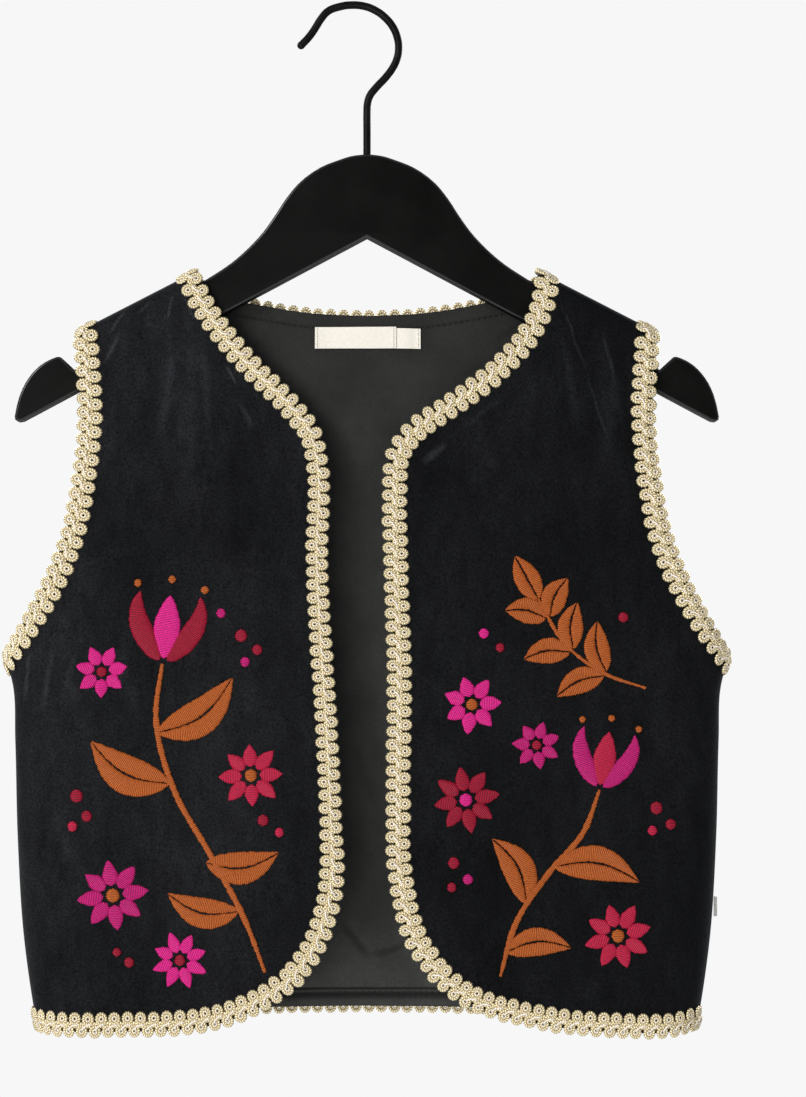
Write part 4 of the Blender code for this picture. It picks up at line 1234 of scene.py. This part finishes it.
class Stitchery:
    """Collects satin-stitched shapes for one front, then makes them one mesh."""

    def __init__(self, seed):
        self.points, self.faces, self.uv, self.threads = [], [], [], []
        self.luck = random.Random(seed)

    def satin(self, line, width_at, thread, height=SATIN_HEIGHT):
        """A padded satin-stitch shape along a line in x, z; width_at gives its width from 0 to 1."""
        line = np.asarray(line, float)
        total = lengths(line)[-1]
        count = max(LEAST_STITCHES, int(total / SATIN_STEP))
        shares = np.linspace(0, 1, count)
        spots = along(line, shares * total)
        run = np.gradient(spots, axis=0)
        run /= np.linalg.norm(run, axis=1)[:, None]
        side = np.stack([run[:, 1], -run[:, 0]], axis=1)
        across = np.array((-1.0, -0.86, -0.5, 0.0, 0.5, 0.86, 1.0, 0.0))
        rise = np.array((-0.3, 0.74, 0.97, 1.0, 0.97, 0.74, -0.3, -0.6))
        first = len(self.points)
        for k, share in enumerate(shares):
            width = max(0.12, width_at(share) / 2 + self.luck.uniform(-0.26, 0.26))
            tall = height * min(1.0, 0.35 + width / 1.6)
            x = spots[k, 0] + side[k, 0] * across * width
            z = spots[k, 1] + side[k, 1] * across * width
            place, normal = skin(x, z, -1)
            self.points += list(place + normal * (rise * tall)[:, None])
        size = len(across)
        for k in range(count - 1):
            for m in range(size):
                n = (m + 1) % size
                a, b = first + k * size, first + (k + 1) * size
                self.faces.append((a + m, a + n, b + n, b + m))
                u0, u1 = shares[k] * total / THREAD_WIDTH, shares[k + 1] * total / THREAD_WIDTH
                v0, v1 = across[m] * 2, across[n] * 2
                self.uv += [(u0, v0), (u0, v1), (u1, v1), (u1, v0)]
                self.threads.append(thread)
        for ring, order in ((first, -1), (first + (count - 1) * size, 1)):
            self.faces.append(tuple(range(ring, ring + size))[::order])
            self.uv += [(0.0, 0.0)] * size
            self.threads.append(thread)

    def leaf(self, x, z, angle, length, width, thread=RUST, bow=0.12):
        """A narrow leaf in two halves, with a vein of bare velvet between them."""
        c, s = math.cos(math.radians(angle)), math.sin(math.radians(angle))
        for half in (-1, 1):
            t = np.linspace(0, 1, 15)
            swell = np.sin(math.pi * t ** 0.85) ** 0.9
            u = t * length
            v = bow * length * np.sin(math.pi * t) + half * (0.28 + width / 4 * swell)
            line = np.stack([x + u * c - v * s, z + u * s + v * c], axis=1)
            self.satin(line, lambda p: width / 2 * max(0.0, math.sin(math.pi * p ** 0.85)) ** 0.9, thread)

    def stem(self, points, width, thread=RUST):
        """A stem that narrows at both ends."""
        line = curve_through(points)
        self.satin(line, lambda p: width * (0.55 + 0.45 * min(1.0, 6 * p, 6 * (1 - p))), thread, 0.7)

    def petal(self, x, z, angle, near_end, far_end, width, thread, point=0.75):
        """A petal that points away from x, z; a lower point moves its widest place inwards."""
        c, s = math.cos(math.radians(angle)), math.sin(math.radians(angle))
        line = [(x + r * c, z + r * s) for r in np.linspace(near_end, far_end, 7)]
        self.satin(line, lambda p: width * max(0.0, math.sin(math.pi * p ** point)) ** 0.75, thread)

    def berry(self, x, z, radius, thread):
        """A small raised dot."""
        line = [(x, z - radius + 2 * radius * t) for t in np.linspace(0, 1, 5)]
        self.satin(line, lambda p: 2 * radius * math.sqrt(max(0.0, 1 - (2 * p - 1) ** 2)), thread, 1.1)

    def daisy(self, x, z, radius, thread, heart, petals=8, turn=0.0):
        """A daisy with pointed petals that part round a small raised heart."""
        for k in range(petals):
            angle = turn + 360.0 * k / petals
            self.petal(x, z, angle, 0.27 * radius, radius * self.luck.uniform(0.95, 1.04),
                       1.9 * math.pi * radius * 0.62 / petals, thread, 0.72)
        self.berry(x, z, 0.2 * radius, heart)

    def tulip(self, x, z, angle, size, outer, inner):
        """A tulip head: two leaning outer petals, a pointed middle one and three stamens."""
        self.petal(x, z, angle, 0.05 * size, size, 0.42 * size, inner, 0.9)
        for lean in (-1, 1):
            c, s = math.cos(math.radians(angle)), math.sin(math.radians(angle))
            t = np.linspace(0, 1, 9)
            u = size * (0.02 + 1.0 * t)
            v = lean * size * (0.06 + 0.42 * np.sin(math.pi * t * 0.62))
            line = np.stack([x + u * c - v * s, z + u * s + v * c], axis=1)
            self.satin(line, lambda p: 0.34 * size * max(0.0, math.sin(math.pi * p ** 0.8)) ** 0.7, outer)
        for lean in (-24, 0, 24):
            a = math.radians(angle + lean)
            self.berry(x + 1.24 * size * math.cos(a), z + 1.24 * size * math.sin(a), 0.06 * size, RUST)

    def sprig(self, points, pairs, length, width, spread=52):
        """A stem with pairs of small leaves."""
        self.stem(points, 1.9)
        line = curve_through(points)
        total = lengths(line)[-1]
        for share in np.linspace(0.3, 0.86, pairs):
            spot, ahead = along(line, share * total), along(line, share * total + 1)
            heading = math.degrees(math.atan2(*(ahead - spot)[::-1]))
            long = length * (1.15 - 0.35 * share)
            for side in (-1, 1):
                out = math.radians(heading + side * 90)
                start = spot + 1.2 * np.array((math.cos(out), math.sin(out)))
                self.leaf(*start, heading + side * spread, long, width, bow=-0.1 * side)
        end, before = line[-1], line[-3]
        heading = math.degrees(math.atan2(*(end - before)[::-1]))
        self.leaf(*end, heading, length, width, bow=0.0)

    def finish(self, name, threads):
        """Make one mesh of all the shapes, each in its own thread."""
        piece = mesh_piece(name, self.points, self.faces, threads, self.uv)
        piece.data.polygons.foreach_set("material_index", self.threads)
        face_outwards(piece)
        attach(piece, "root")
        return piece


threads = [
    thread_material(label, dark, light, 1.0, 0.12, 0.45, 0.0, 0.7, 0.16) for label, dark, light in THREADS
]

right_work = Stitchery(11)
right_work.stem([(-50, -478), (-60, -452), (-77, -420), (-95, -388), (-104, -352), (-101, -326)], 3.1)
right_work.tulip(-100.5, -325, 84, 33, CRIMSON, PINK)
right_work.leaf(-97, -385, 152, 44, 19, bow=0.14)
right_work.leaf(-103.5, -360, 36, 46, 18, bow=-0.14)
right_work.leaf(-79, -424, 8, 36, 16, bow=-0.14)
right_work.leaf(-63, -448, 166, 36, 15, bow=0.14)
right_work.daisy(-125, -440, 17.5, MAGENTA, RUST, turn=8)
right_work.daisy(-92, -472, 14.0, PINK, CRIMSON, turn=20)
right_work.daisy(-57, -381, 16.0, ROSE, RUST, turn=3)
right_work.daisy(-131, -330, 13.0, PINK, CRIMSON, petals=7, turn=12)
for x, z, radius, thread in (
    (-143, -391, 3.3, CRIMSON), (-138, -401, 2.8, CRIMSON), (-145, -406, 2.6, ROSE),
    (-62, -312, 3.2, CRIMSON), (-54, -319, 2.7, CRIMSON), (-60, -325, 2.5, MAGENTA),
    (-117, -473, 2.6, CRIMSON), (-123, -468, 2.2, CRIMSON), (-72, -301, 2.4, MAGENTA),
    (-51, -403, 2.8, CRIMSON), (-43, -409, 2.4, ROSE),
):
    right_work.berry(x, z, radius, thread)
right_embroidery = right_work.finish("embroidery_right", threads)

left_work = Stitchery(23)
left_work.sprig([(138, -338), (118, -331), (98, -316), (85, -294)], 3, 24, 12.5)
left_work.stem([(66, -480), (74, -453), (90, -429), (107, -409), (115, -388)], 3.0)
left_work.tulip(115, -387, 80, 28, MAGENTA, ROSE)
left_work.leaf(79, -444, 118, 36, 16, bow=-0.13)
left_work.leaf(93, -426, -10, 42, 17, bow=0.13)
left_work.leaf(69, -468, 4, 32, 14, bow=0.13)
left_work.daisy(49, -393, 16.5, CRIMSON, PINK, turn=10)
left_work.daisy(52, -346, 14.5, PINK, RUST, petals=7, turn=4)
left_work.daisy(124, -460, 16.5, ROSE, RUST, turn=16)
left_work.daisy(84, -366, 12.0, MAGENTA, CRIMSON, petals=7, turn=22)
for x, z, radius, thread in (
    (143, -397, 3.2, CRIMSON), (150, -405, 2.7, CRIMSON), (141, -408, 2.5, ROSE), (43, -424, 3.0, CRIMSON),
    (50, -432, 2.6, MAGENTA), (42, -436, 2.4, CRIMSON), (127, -303, 2.6, CRIMSON), (58, -311, 2.6, PINK),
    (66, -318, 2.3, CRIMSON),
):
    left_work.berry(x, z, radius, thread)
left_embroidery = left_work.finish("embroidery_left", threads)


# Side tag. The fold of a pale satin care tag, which just shows outside the left side seam,
# where it is caught between front and back.
TAG_TOP, TAG_BOTTOM = -443.0, -452.8
TAG_REACH = 1.7
TAG_THICKNESS = 0.9


def satin_tape():
    """Pale grey satin tape."""
    return toned_material(
        "pale satin tape", (0.42, 0.41, 0.38), (0.56, 0.55, 0.52), 500.0, 0.2, 0.0001, Roughness=0.5)


tag_x = float(side_line(TAG_TOP)) + GAP
deselect()
bpy.ops.mesh.primitive_cube_add(size=1.0, location=(0, 0, 0))
tag = bpy.context.object
tag.name = tag.data.name = "folded_tag"
for vert in tag.data.vertices:
    vert.co = (
        (tag_x + TAG_REACH * (vert.co.x + 0.5)) * MM,
        TAG_THICKNESS * vert.co.y * MM,
        ((TAG_TOP + TAG_BOTTOM) / 2 + (TAG_TOP - TAG_BOTTOM) * vert.co.z) * MM,
    )
bpy.ops.object.mode_set(mode="EDIT")
select_where(tag, "EDGE", lambda e: min(v.co.x for v in e.verts) > (tag_x + TAG_REACH / 2) * MM)
bpy.ops.mesh.bevel(offset=0.4 * MM, segments=3, profile=0.5)
bpy.ops.object.mode_set(mode="OBJECT")
bpy.ops.object.shade_smooth_by_angle(angle=math.radians(40))
tag.data.materials.append(satin_tape())
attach(tag, "root")
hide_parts("side_tag")


# Studio. A pale floor well below the hanging vest, a white surround and soft window-sized
# lights, the main one high on the left.
CAMERA_X, CAMERA_Z = 0.018, -0.269
CAMERA_DISTANCE = 1.6
VIEW_HEIGHT = 0.5485
SENSOR = 36.0
FLOOR_Z = -1.1

deselect()
bpy.ops.mesh.primitive_plane_add(size=4.0, location=(0, 0, FLOOR_Z))
floor = bpy.context.object
floor.name = "studio_floor"
floor.data.materials.append(new_material("pale floor", Roughness=0.8, Base_Color=(0.86, 0.86, 0.86, 1))[0])

world = bpy.data.worlds.new("white surround")
bpy.context.scene.world = world
world.use_nodes = True
sky = world.node_tree
background = sky.nodes["Background"]
background.inputs["Color"].default_value = (0.93, 0.93, 0.935, 1)
glow = put(sky, "ShaderNodeBackground", Color=(0.97, 0.98, 1.0, 1), Strength=0.46)
seen = put(sky, "ShaderNodeLightPath").outputs["Is Camera Ray"]
both = put(sky, "ShaderNodeMixShader", {}, seen, glow.outputs["Background"], background.outputs["Background"])
plug(sky, sky.nodes["World Output"], "Surface", both.outputs["Shader"])

LIGHTS = (
    ("key", (-1.05, -1.3, 0.45), 0.6, 15.0),
    ("front", (-0.7, -2.2, -0.5), 1.2, 26.0),
    ("back left", (-0.9, 1.1, 0.5), 0.9, 12.0),
    ("back right", (1.0, 1.0, 0.2), 0.9, 12.0),
)
for name, place, size, power in LIGHTS:
    bpy.ops.object.light_add(type="AREA", location=place)
    lamp = bpy.context.object
    lamp.name = name
    lamp.data.size = size
    lamp.data.energy = power
    lamp.rotation_euler = (Vector((0, 0, -0.3)) - Vector(place)).to_track_quat("-Z", "Y").to_euler()

bpy.ops.object.camera_add(location=(CAMERA_X, -CAMERA_DISTANCE, CAMERA_Z), rotation=(math.pi / 2, 0, 0))
camera = bpy.context.object
camera.data.sensor_width = SENSOR
camera.data.lens = SENSOR * CAMERA_DISTANCE / VIEW_HEIGHT
bpy.context.scene.camera = camera
bpy.context.scene.view_settings.view_transform = "Standard"
